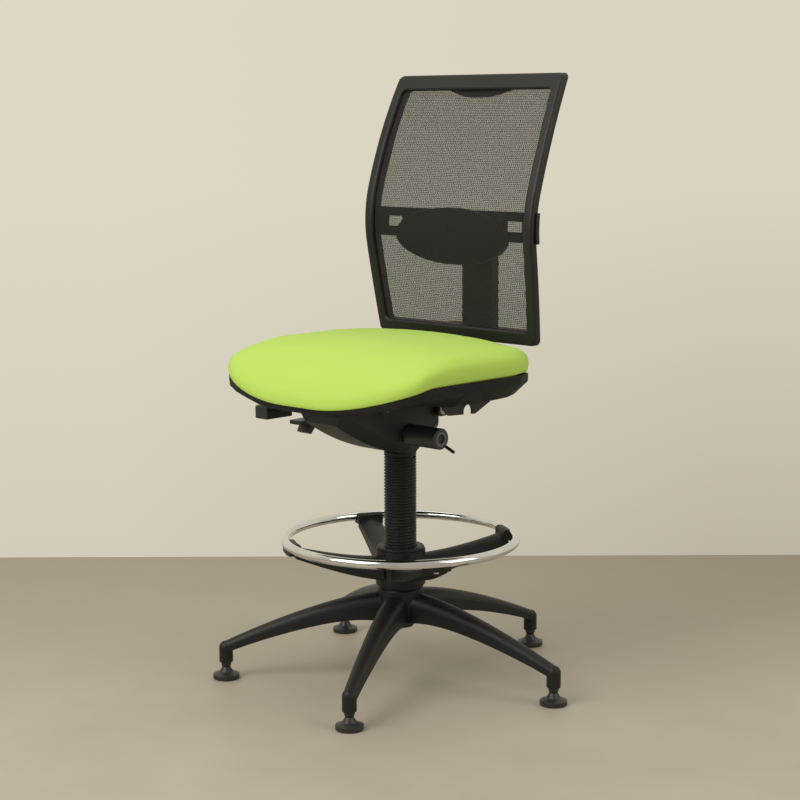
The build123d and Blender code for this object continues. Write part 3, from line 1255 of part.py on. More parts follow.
def back_frame():
    """A moulded frame, rounded at the front, bevelled at the rear, with a grip swell behind its top rail."""
    frame = back_slab(0, FRAME_DEPTH) & back_outline(0, BACK_BOTTOM_Z, BACK_TOP_Z, BACK_CORNER)
    frame = chamfer(rim_edges(facing(frame, 1)), FRAME_REAR_CHAMFER)
    frame = fillet(rim_edges(facing(frame, -1)), FRAME_FRONT_ROUND)
    frame = frame - back_window()
    frame = fillet(rim_edges(facing(frame, -1)).filter_by(in_window), FRAME_WINDOW_ROUND)
    low = BACK_TOP_Z - FRAME_TOP_BAND
    far, half, top, dip = GRIP_HALF_WIDTH, GRIP_HALF_WIDTH / 2, low + 4, low - GRIP_DROP
    swell = make_face([
        Line((-far, top), (far, top)),
        Bezier((far, top), (half, top), (half, dip), (0, dip)),
        Bezier((0, dip), (-half, dip), (-half, top), (-far, top)),
    ])
    column = extrude(Plane.XZ * swell, amount=500, both=True)
    grip = back_slab(FRAME_DEPTH - GRIP_THICKNESS, FRAME_DEPTH) & column
    return frame + grip - back_screws()


def back_screws():
    screws = []
    rear = sleeve_front_y()
    z = BACK_BRACKET_BOTTOM_Z + BACK_BRACKET_HEIGHT / 2
    for x in (-BACK_SCREW_X, BACK_SCREW_X):
        screw = rod_y(BACK_SCREW_RADIUS, rear - BACK_SCREW_LENGTH, rear, x, z)
        screw += rod_y(BACK_SCREW_HEAD_RADIUS, rear, rear + BACK_SCREW_HEAD, x, z)
        screws.append(screw.solid())
    return screws


def sleeve_front_y():
    return UPRIGHT_Y - UPRIGHT_THICKNESS / 2 - SLIDE_GAP - BACK_SLEEVE_WALL


def back_sleeve():
    """A box sleeve that rides on the upright, with a bracket to the frame's bottom rail."""
    half_x = UPRIGHT_WIDTH / 2 + SLIDE_GAP
    half_y = UPRIGHT_THICKNESS / 2 + SLIDE_GAP
    front, rear = UPRIGHT_Y - half_y - BACK_SLEEVE_WALL, UPRIGHT_Y + half_y + BACK_SLEEVE_WALL
    wide = BACK_SLEEVE_HALF_WIDTH
    sleeve = box(-wide, wide, front, rear, BACK_SLEEVE_BOTTOM_Z, BACK_SLEEVE_TOP_Z)
    sleeve = fillet(sleeve.edges().filter_by(Axis.Z), BACK_SLEEVE_ROUND)
    high = BACK_BRACKET_BOTTOM_Z + BACK_BRACKET_HEIGHT
    ledge = BACK_BRACKET_HALF_WIDTH
    bracket = box(-ledge, ledge, front - 60, front, BACK_BRACKET_BOTTOM_Z, high) - back_slab(-80, FRAME_DEPTH)
    inner = wide - BACK_SLEEVE_ROUND
    bracket += box(-inner, inner, front - 1, front + 1, BACK_BRACKET_BOTTOM_Z, high)
    cavity = box(
        -half_x, half_x, UPRIGHT_Y - half_y, UPRIGHT_Y + half_y,
        BACK_SLEEVE_BOTTOM_Z - 1, UPRIGHT_TOP_Z + BACK_SLEEVE_HEADROOM,
    )
    return sleeve + bracket - cavity - back_screws()


# Lumbar support
def lumbar_sector(inner, outer, low_deg, high_deg, half_width):
    """A piece of a tube about the lumbar centre, seen from the side between two angles."""
    def at(radius, degrees):
        angle = math.radians(degrees)
        return (LUMBAR_CENTRE_Y - radius * math.cos(angle), LUMBAR_Z + radius * math.sin(angle))

    middle = (low_deg + high_deg) / 2
    face = make_face([
        ThreePointArc(at(outer, low_deg), at(outer, middle), at(outer, high_deg)),
        Line(at(outer, high_deg), at(inner, high_deg)),
        ThreePointArc(at(inner, high_deg), at(inner, middle), at(inner, low_deg)),
        Line(at(inner, low_deg), at(outer, low_deg)),
    ])
    return extrude(Plane.YZ * face, amount=half_width, both=True)


def lumbar_clip(side):
    """A hook from behind the frame's side round its bevel to its outer face, turned about the centre."""
    half_deg = math.degrees(CLIP_HALF_HEIGHT / BAND_RADIUS)
    inner, outer = BAND_RADIUS - BAND_THICKNESS, side + CLIP_PLATE
    bevel = FRAME_REAR_CHAMFER + 2
    points = [
        (outer - 40, inner), (outer - bevel, inner), (outer, inner + bevel),
        (outer, BAND_RADIUS + CLIP_REACH),
        (side, BAND_RADIUS + CLIP_REACH), (side, BAND_RADIUS + FRAME_REAR_CHAMFER),
        (side - FRAME_REAR_CHAMFER, BAND_RADIUS), (outer - 40, BAND_RADIUS),
    ]
    start = math.radians(LUMBAR_REST_DEG - half_deg)
    outward = (0, -math.cos(start), math.sin(start))
    centre = (0, LUMBAR_CENTRE_Y, LUMBAR_Z)
    plane = Plane(origin=centre, x_dir=(1, 0, 0), z_dir=Vector(1, 0, 0).cross(Vector(outward)))
    face = plane * make_face(Polyline(*points, close=True))
    return revolve(face, Axis(centre, (-1, 0, 0)), 2 * half_deg)


def lumbar_band():
    middle_z = LUMBAR_Z + LUMBAR_RADIUS * math.sin(math.radians(LUMBAR_REST_DEG))
    band_deg = math.degrees(BAND_HALF_HEIGHT / BAND_RADIUS)
    side = BACK_MIDDLE_HALF_WIDTH + CLIP_SIDE_GAP
    inner = BAND_RADIUS - BAND_THICKNESS
    reach = side - 2 * FRAME_REAR_CHAMFER
    band = lumbar_sector(inner, BAND_RADIUS, LUMBAR_REST_DEG - band_deg, LUMBAR_REST_DEG + band_deg, reach)
    clip = lumbar_clip(side)
    slots = []
    for x in (-BAND_SLOT_X, BAND_SLOT_X):
        half_x, half_z = BAND_SLOT_WIDTH / 2, BAND_SLOT_HEIGHT / 2
        slots.append(box(x - half_x, x + half_x, 0, 400, middle_z - half_z, middle_z + half_z))
    return joined(band, [clip, mirrored(clip)]) - slots


def lumbar_pad():
    middle_z = LUMBAR_Z + LUMBAR_RADIUS * math.sin(math.radians(LUMBAR_REST_DEG)) - PAD_DROP
    reach = math.degrees(PAD_HALF_HEIGHT / BAND_RADIUS) + 12
    low, high = LUMBAR_REST_DEG - reach - 6, LUMBAR_REST_DEG + reach
    ring = lumbar_sector(BAND_RADIUS, PAD_RADIUS, low, high, PAD_HALF_WIDTH + 5)
    oval = Pos(0, middle_z) * Ellipse(PAD_HALF_WIDTH, PAD_HALF_HEIGHT)
    pad = ring & extrude(Plane.XZ * oval, amount=400, both=True)
    pad = fillet(pad.faces().sort_by(Axis.Y)[0].edges(), PAD_ROUND)
    front = LUMBAR_CENTRE_Y - PAD_RADIUS
    half_x, half_z = PAD_SLIT_WIDTH / 2, PAD_SLIT_HEIGHT / 2
    slit_z = middle_z + PAD_DROP / 2
    return pad - box(-half_x, half_x, front - 5, front + PAD_SLIT_DEPTH, slit_z - half_z, slit_z + half_z)


# All nodes
def all_parts():
    nodes = {"star_base": star_base()}
    nodes["glides"] = Compound([around(glide(), a).solid() for a in base_angles()])
    nodes["glide_stems"] = Compound([around(glide_stem(), a).solid() for a in base_angles()])
    nodes.update(column_parts())
    nodes.update(foot_ring_parts())
    nodes.update(mechanism_parts())
    nodes["tension_knob"] = tension_knob()
    nodes["knob_ring"] = knob_ring()
    nodes["tension_shaft"] = tension_shaft()
    nodes["tension_nut"] = tension_nut()
    nodes["lock_lever"] = lock_lever()
    nodes["height_lever"] = height_lever()
    nodes["lever_handle"] = lever_handle()
    nodes.update(recline_parts())
    nodes["seat_carrier"] = seat_carrier()
    nodes["slide_rail_left"] = slide_rail()
    nodes["slide_rail_right"] = mirrored(slide_rail())
    nodes["slide_runner_left"] = slide_runner() - runner_screws()
    nodes["slide_runner_right"] = mirrored(slide_runner()) - runner_screws()
    nodes["seat_screws"] = Compound(runner_screws() + bracket_screws())
    nodes["seat_board"] = seat_board()
    nodes["seat_cushion"] = seat_cushion()
    nodes["seat_shell"] = seat_shell()
    nodes["arm_bracket_left"] = arm_bracket()
    nodes["arm_bracket_right"] = mirrored(arm_bracket())
    nodes["depth_lever"] = depth_lever()
    nodes["depth_pin"] = depth_pin()
    nodes["back_frame"] = back_frame()
    nodes["back_mesh"] = back_slab(MESH_DEPTH, MESH_DEPTH + MESH_THICKNESS) & back_window()
    nodes["back_sleeve"] = back_sleeve()
    nodes["back_screws"] = Compound(back_screws())
    nodes["lumbar_band"] = lumbar_band()
    nodes["lumbar_pad"] = lumbar_pad()
    return nodes


os.makedirs("parts", exist_ok=True)
for name, shape in all_parts().items():
    export_step(shape, f"parts/{name}.step")
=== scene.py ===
import math

import bpy
import numpy as np
from mathutils import Matrix, Vector
from mathutils.kdtree import KDTree


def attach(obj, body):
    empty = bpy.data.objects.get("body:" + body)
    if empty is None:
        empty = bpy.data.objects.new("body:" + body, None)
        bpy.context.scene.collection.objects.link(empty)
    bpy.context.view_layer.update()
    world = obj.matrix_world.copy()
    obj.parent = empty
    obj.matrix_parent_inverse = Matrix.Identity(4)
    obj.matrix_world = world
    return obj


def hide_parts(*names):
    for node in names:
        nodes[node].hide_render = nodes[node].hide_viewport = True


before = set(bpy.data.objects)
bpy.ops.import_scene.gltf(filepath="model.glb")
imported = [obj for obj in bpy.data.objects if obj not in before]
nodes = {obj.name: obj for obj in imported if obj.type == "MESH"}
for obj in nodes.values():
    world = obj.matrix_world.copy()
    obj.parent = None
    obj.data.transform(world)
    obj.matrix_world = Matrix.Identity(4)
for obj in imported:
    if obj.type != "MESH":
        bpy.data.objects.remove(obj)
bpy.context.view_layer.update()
scene = bpy.context.scene
scene.view_settings.view_transform = "Standard"

# Camera: angles, distances in metres and lens in millimetres
AZIMUTH = math.radians(44.0)
TILT = math.radians(8.66)
ROLL = math.radians(-0.195)
CAMERA_DISTANCE = 3.4756
CAMERA_HEIGHT = 1.0592
LENS = 85.0

# Stage: the wall begins past BACKDROP_START as a glowing backdrop with painted shade, darker to the right and
# towards the floor
BACKDROP_START = 0.976
WALL_COLOUR = (0.725, 0.688, 0.556, 1)
WALL_SHADE = (0.36, 0.325, 0.245, 1)
WALL_SIDES = (-0.15, 0.17)
# Painted shade on the wall: shares of WALL_SHADE to the right, towards the floor and in the lower right
# corner, and where the shade towards the floor starts
WALL_SIDE_PAINTED_SHADE = 0.10
WALL_LOW_PAINTED_SHADE = 0.22
WALL_CORNER_PAINTED_SHADE = 0.52
WALL_PAINTED_SHADE_START = 27.0
ROOM_COLOUR = (0.46, 0.435, 0.375, 1)
ROOM_FADE = (0.25, -0.35)
SKY_COLOUR = (1.0, 0.975, 0.93, 1)
SKY_STRENGTH = 0.5
FLOOR_COLOUR = (0.47, 0.425, 0.325, 1)
# Painted shade on the floor: darker towards the wall from FLOOR_FADE_START, and more so to the right
FLOOR_FAR_SHADE = (0.33, 0.285, 0.195, 1)
FLOOR_FADE_START = -0.35
FLOOR_FADE = (0.58, 0.8)
FLOOR_HALF_SIZE = 30.0
LAMPS = (  # name, place to the right, towards the camera and up, target height, size, power, colour
    ("key", (-1.9, 1.5, 2.3), 0.65, (1.9, 1.9), 52, (1.0, 0.985, 0.95)),
    ("fill", (2.1, 1.2, 1.7), 0.6, (1.4, 1.8), 16, (1.0, 0.98, 0.95)),
    ("ceiling", (0.0, -0.6, 3.2), 0.5, (2.4, 1.4), 12, (1.0, 0.985, 0.95)),
)

# Finishes
DUST_COLOUR = (0.26, 0.245, 0.215, 1)
DUST_SHARE = 0.035
COVER_PITCH = 0.0011

# Back of the chair: its side view and its window
LUMBAR_CENTRE = (0.375, 0.845)
LUMBAR_RADIUS = 0.254
LUMBAR_LOW = math.radians(-8.75)
LUMBAR_HIGH = math.radians(16.0)
UPPER_RADIUS = 1.136
MESH_MIDDLE_DEPTH = 0.00875
WINDOW_LOW_Z = 0.659
WINDOW_HIGH_Z = 1.100
WINDOW_WIDTHS = ((0.632, 0.178), (0.870, 0.192), (1.130, 0.186))
WINDOW_TUCK = 0.002
RUN_SEARCH = (-0.4, 0.6)
HALVINGS = 50

# Weave of the back
WEAVE_SEED = 7
STRAND_SIDES = 4
WEFT_PITCH = 0.00175
WEFT_HALF_WIDTH = 0.00053
WEFT_HALF_THICKNESS = 0.00022
WEFT_TURNS = (1.4, 0.6)  # widths of ribbons in turn
WARP_PITCH = 0.0023
WARP_HALF_WIDTH = 0.00068
WARP_TURNS = (1.3, 0.7)  # widths of strands in turn
WARP_HALF_THICKNESS = 0.00020
WARP_SWAY = 0.00042
WEFT_STRAY = 0.00008
WEFT_RIPPLE = 0.1  # share of the thickness
WEFT_RIPPLE_STEP = 9.0  # radians per ring
WEFT_RINGS = 12

# Threaded sleeve of the column
SLEEVE_LOW_Z = 0.176
SLEEVE_HIGH_Z = 0.434
SLEEVE_BORE = 0.0253
CREST_RADIUS = 0.0303
ROOT_RADIUS = 0.0285
THREAD_PITCH = 0.006
CREST_FLAT = 0.0022
ROOT_FLAT = 0.0014
SLEEVE_COLLAR = 0.006
SLEEVE_SIDES = 72
THREAD_END = 0.0006
COLLAR_OVERLAP = 0.001
COLLAR_EDGE = 0.0004
COLLAR_PROUD = 0.00002

# Seat pad: its plan, its seam and its height over the seam
SEAT_HALF_WIDTH = 0.247
SEAT_FRONT_Y = -0.268
SEAT_REAR_Y = 0.175
FRONT_CORNER = (0.212, 0.075)
REAR_CORNER = (0.150, 0.150)
SEAM_Z = 0.5925
SEAM_FRONT = (-0.163, 0.050)
SEAM_REAR = (0.071, 0.016)
PAD_HEIGHT = 0.054
PAD_FRONT_HEIGHT = 0.026
PAD_REAR_HEIGHT = 0.010
PAD_FRONT_ROLL = 0.190
PAD_REAR_ROLL = 0.115
PAD_CROWN = 0.004
PAD_SHOULDER = 0.032
PAD_UNDERCUT = 0.005
PAD_WIDEST_SHARE = 0.42
PAD_SIDE_SHARE = 0.48
PAD_SHOULDER_SHARE = 0.9
PAD_CROWN_SHARE = 0.1
PAD_LOWER_SHARES = (0.30, 0.18, 0.08, 0.0)
PAD_HELD_MARGIN = 0.001
SIM_FRAMES = 20
PAD_LIFT = 0.0003
PAD_CELLS = 64
RIM_STEPS = 64  # steps per cell for places on the grid's rim
CORNER_STEPS = 60
PAD_RINGS = (0.040, 0.032, 0.026, 0.020, 0.0145, 0.010, 0.0063, 0.0035, 0.0015, 0.0)
PAD_START_INSET = 0.003
PAD_TRAVEL = 0.003
PAD_HEM = 0.03
PAD_EASING = 24


def put(tree, kind, inputs=(), **settings):
    """A shader node with its settings. Its inputs go by name or number, as values or as sockets to link."""
    node = tree.nodes.new("ShaderNode" + kind)
    for key, value in settings.items():
        setattr(node, key, value)
    for key, value in dict(inputs).items():
        if isinstance(value, bpy.types.NodeSocket):
            tree.links.new(value, node.inputs[key])
        else:
            node.inputs[key].default_value = value
    return node


def maths(tree, operation, first, second=0.0, clamp=False):
    return put(tree, "Math", {0: first, 1: second}, operation=operation, use_clamp=clamp).outputs[0]


def scaled(tree, value, low, high):
    """A 0 to 1 value spread over low to high."""
    return put(tree, "MapRange", {"Value": value, "To Min": low, "To Max": high}).outputs[0]


def mixed(tree, share, first, second):
    return put(tree, "Mix", {0: share, 6: first, 7: second}, data_type="RGBA").outputs[2]


def noise(tree, at, scale, detail=2.0, roughness=0.5, stretch=None):
    if stretch:
        at = put(tree, "Mapping", {"Vector": at, "Scale": stretch}).outputs[0]
    inputs = {"Vector": at, "Scale": scale, "Detail": detail, "Roughness": roughness}
    return put(tree, "TexNoise", inputs).outputs[0]


def voronoi(tree, at, scale):
    return put(tree, "TexVoronoi", {"Vector": at, "Scale": scale}).outputs[0]


def ramp(tree, value, *stops):
    node = put(tree, "ValToRGB", {"Fac": value})
    points = node.color_ramp.elements
    while len(points) < len(stops):
        points.new(0.5)
    for point, (place, colour) in zip(points, stops):
        point.position = place
        point.color = colour
    return node.outputs[0]


def shade(colour, factor):
    return (*(min(1.0, c * factor) for c in colour[:3]), 1)


def new_material(name, **values):
    """A Principled material with uniform values set on the shader, and its tree and object coordinates."""
    material = bpy.data.materials.new(name)
    material.use_nodes = True
    tree = material.node_tree
    tree.nodes.clear()
    shader = put(tree, "BsdfPrincipled", values)
    output = put(tree, "OutputMaterial")
    tree.links.new(shader.outputs[0], output.inputs["Surface"])
    at = put(tree, "TexCoord")
    return material, tree, shader, at.outputs["Object"], at.outputs["Normal"]


def edges(tree, radius):
    """The surface's normal with its edges rounded off, and a mask that is 1 along them."""
    rounded = put(tree, "Bevel", {"Radius": radius}, samples=6).outputs[0]
    flat = put(tree, "NewGeometry").outputs["Normal"]
    dot = put(tree, "VectorMath", {0: rounded, 1: flat}, operation="DOT_PRODUCT").outputs["Value"]
    return rounded, maths(tree, "MULTIPLY", maths(tree, "SUBTRACT", 1.0, dot), 4.0, clamp=True)


def bump(tree, height, distance, normal=None, strength=0.6):
    inputs = {"Height": height, "Distance": distance, "Strength": strength}
    if normal is not None:
        inputs["Normal"] = normal
    return put(tree, "Bump", inputs).outputs[0]


def moulded(name, colour, rough, grain=0.0007, depth=0.00008, wear=0.5, round_edge=0.0012, specular=0.5):
    """Grained plastic or coating with cloudy tone, scuffs, rubbed edges and dust on what faces up."""
    material, tree, shader, at, normal = new_material(name, **{"Specular IOR Level": specular})
    rounded, edge = edges(tree, round_edge)
    cloud = noise(tree, at, 9.0, 3.0)
    scuff = noise(tree, at, 60.0, 6.0, 0.7, (1.0, 1.0, 0.35))
    tone = ramp(tree, cloud, (0.3, shade(colour, 0.8)), (0.7, shade(colour, 1.25)))
    worn = maths(tree, "MULTIPLY", edge, scaled(tree, scuff, 0.1 * wear, wear), clamp=True)
    tone = mixed(tree, worn, tone, shade(colour, 3.2))
    up = maths(tree, "POWER", put(tree, "SeparateXYZ", {0: normal}).outputs[2], 3.0, clamp=True)
    specks = scaled(tree, noise(tree, at, 140.0, 5.0, 0.75), 0.0, DUST_SHARE)
    tone = mixed(tree, maths(tree, "MULTIPLY", up, specks, clamp=True), tone, DUST_COLOUR)
    tree.links.new(tone, shader.inputs["Base Color"])
    finish = maths(tree, "ADD", scaled(tree, scuff, rough - 0.10, rough + 0.10),
                   scaled(tree, cloud, -0.05, 0.05))
    finish = maths(tree, "SUBTRACT", finish, maths(tree, "MULTIPLY", edge, 0.08), clamp=True)
    tree.links.new(finish, shader.inputs["Roughness"])
    texture = maths(tree, "ADD", noise(tree, at, 1.0 / grain, 2.0), voronoi(tree, at, 0.6 / grain))
    tree.links.new(bump(tree, texture, depth, rounded), shader.inputs["Normal"])
    return material


def polished(name, colour, rough, spread, scratch=0.00002):
    """Bare or plated metal with smears, fine scratches and a little dulling."""
    material, tree, shader, at, _ = new_material(name, Metallic=1.0)
    rounded, edge = edges(tree, 0.0006)
    smear = noise(tree, at, 26.0, 5.0, 0.65)
    fine = noise(tree, at, 900.0, 2.0, 0.5, (1.0, 1.0, 0.08))
    tone = ramp(tree, smear, (0.25, shade(colour, 0.86)), (0.75, shade(colour, 1.05)))
    tone = mixed(tree, maths(tree, "MULTIPLY", edge, 0.4), tone, shade(colour, 1.15))
    tree.links.new(tone, shader.inputs["Base Color"])
    finish = maths(tree, "ADD", scaled(tree, smear, rough, rough + spread), scaled(tree, fine, 0.0, 0.03))
    tree.links.new(finish, shader.inputs["Roughness"])
    tree.links.new(bump(tree, fine, scratch, rounded, 0.4), shader.inputs["Normal"])
    return material


def plywood(name):
    material, tree, shader, at, _ = new_material(name, **{"Specular IOR Level": 0.3})
    grain = noise(tree, at, 40.0, 6.0, 0.6, (9.0, 0.7, 9.0))
    plies = put(tree, "TexWave", {"Vector": at, "Scale": 95.0, "Distortion": 1.2},
                bands_direction="Z").outputs[1]
    tone = ramp(tree, grain, (0.3, (0.40, 0.25, 0.13, 1)), (0.7, (0.60, 0.43, 0.25, 1)))
    tone = mixed(tree, maths(tree, "MULTIPLY", plies, 0.35), tone, (0.30, 0.18, 0.09, 1))
    tree.links.new(tone, shader.inputs["Base Color"])
    tree.links.new(scaled(tree, grain, 0.55, 0.8), shader.inputs["Roughness"])
    tree.links.new(bump(tree, grain, 0.0002), shader.inputs["Normal"])
    return material


def plain_weave(tree, first, second, pitch):
    """Threads crossing over and under along two coordinates."""
    turns = math.pi / pitch
    one = maths(tree, "SINE", maths(tree, "MULTIPLY", first, turns))
    two = maths(tree, "SINE", maths(tree, "MULTIPLY", second, turns))
    return scaled(tree, maths(tree, "MULTIPLY", one, two), 0.5, 1.0)


def cover_cloth(name, colour):
    """Woven seat cover: a fine crossing weave laid on from three sides, slubs, fibre fuzz and a soft nap."""
    material, tree, shader, at, normal = new_material(
        name, **{"Specular IOR Level": 0.25, "Sheen Weight": 0.08, "Sheen Roughness": 0.45,
                 "Sheen Tint": (0.93, 1.0, 0.72, 1)})
    x, y, z = put(tree, "SeparateXYZ", {0: at}).outputs
    outward = put(tree, "VectorMath", {0: normal}, operation="ABSOLUTE").outputs[0]
    facing = put(tree, "SeparateXYZ", {0: outward}).outputs
    side, front, top = (maths(tree, "POWER", share, 4.0) for share in facing)
    layers = ((side, plain_weave(tree, y, z, COVER_PITCH)), (front, plain_weave(tree, x, z, COVER_PITCH)),
              (top, plain_weave(tree, x, y, COVER_PITCH)))
    total = maths(tree, "ADD", maths(tree, "ADD", side, front), top)
    weave = 0.0
    for share, height in layers:
        weave = maths(tree, "ADD", weave, maths(tree, "MULTIPLY", share, height))
    weave = maths(tree, "DIVIDE", weave, total)
    fuzz = noise(tree, at, 2600.0, 3.0, 0.6)
    slub = noise(tree, at, 320.0, 3.0, 0.6, (1.0, 0.25, 1.0))
    nap = noise(tree, at, 7.0, 3.0)
    tone = ramp(tree, weave, (0.1, shade(colour, 0.80)), (0.9, shade(colour, 1.06)))
    tone = mixed(tree, scaled(tree, slub, 0.0, 0.28), tone, shade(colour, 0.86))
    tone = mixed(tree, scaled(tree, nap, 0.0, 0.16), tone, shade(colour, 1.12))
    tree.links.new(tone, shader.inputs["Base Color"])
    tree.links.new(scaled(tree, fuzz, 0.72, 0.94), shader.inputs["Roughness"])
    height = maths(tree, "ADD", weave, scaled(tree, fuzz, 0.0, 0.35))
    tree.links.new(bump(tree, height, 0.00022, strength=0.55), shader.inputs["Normal"])
    return material


def mesh_yarn(name, colour):
    """Twisted black yarn of the back's open weave."""
    material, tree, shader, at, _ = new_material(
        name, **{"Specular IOR Level": 0.25, "Sheen Weight": 0.05, "Sheen Roughness": 0.5})
    twist = noise(tree, at, 1500.0, 3.0, 0.6, (0.25, 1.0, 1.0))
    cloud = noise(tree, at, 14.0, 3.0)
    tone = ramp(tree, twist, (0.25, shade(colour, 0.65)), (0.75, shade(colour, 1.45)))
    tone = mixed(tree, scaled(tree, cloud, 0.0, 0.2), tone, shade(colour, 1.6))
    tree.links.new(tone, shader.inputs["Base Color"])
    tree.links.new(scaled(tree, twist, 0.55, 0.8), shader.inputs["Roughness"])
    tree.links.new(bump(tree, twist, 0.00012), shader.inputs["Normal"])
    return material


def make_finishes():
    return {
        "base_plastic": moulded(
            "base_plastic", (0.0075, 0.0075, 0.0066), 0.48, 0.0008, 0.00009, 0.3, specular=0.36),
        "glide_plastic": moulded("glide_plastic", (0.019, 0.019, 0.017), 0.42, 0.0006, 0.00005, 0.6),
        "frame_plastic": moulded(
            "frame_plastic", (0.0100, 0.0100, 0.0090), 0.46, 0.0006, 0.00006, 0.4, 0.0016, 0.40),
        "shell_plastic": moulded(
            "shell_plastic", (0.008, 0.008, 0.0074), 0.62, 0.0011, 0.00014, 0.25, specular=0.25),
        "handle_plastic": moulded("handle_plastic", (0.034, 0.034, 0.0315), 0.42, 0.0005, 0.00004, 0.5),
        "bush_plastic": moulded("bush_plastic", (0.045, 0.045, 0.043), 0.42, 0.0006, 0.00004, 0.4),
        "ring_grey": moulded("ring_grey", (0.11, 0.113, 0.105), 0.45, 0.0006, 0.00004, 0.2),
        "seat_fabric": cover_cloth("seat_fabric", (0.51, 0.73, 0.12)),
        "back_fabric": mesh_yarn("back_fabric", (0.026, 0.0222, 0.0200)),
        "board_wood": plywood("board_wood"),
        "chrome": polished("chrome", (0.78, 0.785, 0.79), 0.04, 0.09),
        "black_steel": moulded("black_steel", (0.014, 0.014, 0.013), 0.46, 0.0016, 0.00007, 0.5),
        "cast_black": moulded("cast_black", (0.015, 0.015, 0.014), 0.52, 0.0012, 0.00016, 0.5),
        "bright_steel": polished("bright_steel", (0.55, 0.56, 0.57), 0.22, 0.16, 0.00004),
        "rubber": moulded("rubber", (0.018, 0.018, 0.018), 0.75, 0.0009, 0.00008, 0.2),
    }


def linked(name, mesh):
    made = bpy.data.objects.new(name, mesh)
    scene.collection.objects.link(made)
    return made


def mesh_from(name, points, faces, material, smooth=True):
    mesh = bpy.data.meshes.new(name)
    mesh.from_pydata([tuple(p) for p in points], [], [tuple(f) for f in faces])
    mesh.polygons.foreach_set("use_smooth", [smooth] * len(mesh.polygons))
    mesh.materials.append(material)
    mesh.update()
    return linked(name, mesh)


def tube(rings):
    """Points and faces of a closed tube through rings of points, with its ends capped."""
    count, sides = len(rings), len(rings[0])
    points = [p for ring in rings for p in ring]
    faces = []
    for i in range(count - 1):
        for j in range(sides):
            k = (j + 1) % sides
            faces.append((i * sides + j, i * sides + k, (i + 1) * sides + k, (i + 1) * sides + j))
    faces.append(tuple(reversed(range(sides))))
    faces.append(tuple(range((count - 1) * sides, count * sides)))
    return points, faces


def gather(parts):
    """Several point and face lists as one."""
    points, faces = [], []
    for more_points, more_faces in parts:
        start = len(points)
        points += more_points
        faces += [tuple(i + start for i in face) for face in more_faces]
    return points, faces


def back_place(run):
    """The mesh's middle and slope at a run up its side view, counted from the foot of the lumbar arc."""
    lumbar_radius = LUMBAR_RADIUS - MESH_MIDDLE_DEPTH
    upper_radius = UPPER_RADIUS - MESH_MIDDLE_DEPTH
    lumbar_run = lumbar_radius * (LUMBAR_HIGH - LUMBAR_LOW)
    centre_y, centre_z = LUMBAR_CENTRE
    angle = min(max(LUMBAR_LOW + run / lumbar_radius, LUMBAR_LOW), LUMBAR_HIGH)
    y = centre_y - lumbar_radius * math.cos(angle)
    z = centre_z + lumbar_radius * math.sin(angle)
    if run < 0:
        y += run * math.sin(LUMBAR_LOW)
        z += run * math.cos(LUMBAR_LOW)
    if run > lumbar_run:
        more = LUMBAR_HIGH + (run - lumbar_run) / upper_radius
        y += upper_radius * (math.cos(LUMBAR_HIGH) - math.cos(more))
        z += upper_radius * (math.sin(more) - math.sin(LUMBAR_HIGH))
        angle = more
    return y, z, angle


def run_at(z):
    """The run up the back at a height, found by halving."""
    low, high = RUN_SEARCH
    for _ in range(HALVINGS):
        middle = (low + high) / 2
        if back_place(middle)[1] < z:
            low = middle
        else:
            high = middle
    return low


def window_half_width(z):
    """Half the window's width, on the parabola through its three given widths."""
    (a, wide_a), (b, wide_b), (c, wide_c) = WINDOW_WIDTHS
    return (wide_a * (z - b) * (z - c) / ((a - b) * (a - c))
            + wide_b * (z - a) * (z - c) / ((b - a) * (b - c))
            + wide_c * (z - a) * (z - b) / ((c - a) * (c - b)))


def strand_ring(x, run, forward, across, along, wide, thick):
    """A ring of a strand, with its flat side sideways if across is set and up the back if not."""
    y, z, angle = back_place(run)
    ahead = (-math.cos(angle), math.sin(angle))
    up = (math.sin(angle), math.cos(angle))
    ring = []
    for j in range(STRAND_SIDES):
        turn = 2 * math.pi * (j + 0.5) / STRAND_SIDES
        flat, out = wide * math.cos(turn), thick * math.sin(turn) + forward
        rise = 0.0 if across else flat
        ring.append((x + (flat if across else 0.0), y + ahead[0] * out + up[0] * rise + along * up[0],
                     z + ahead[1] * out + up[1] * rise + along * up[1]))
    return ring


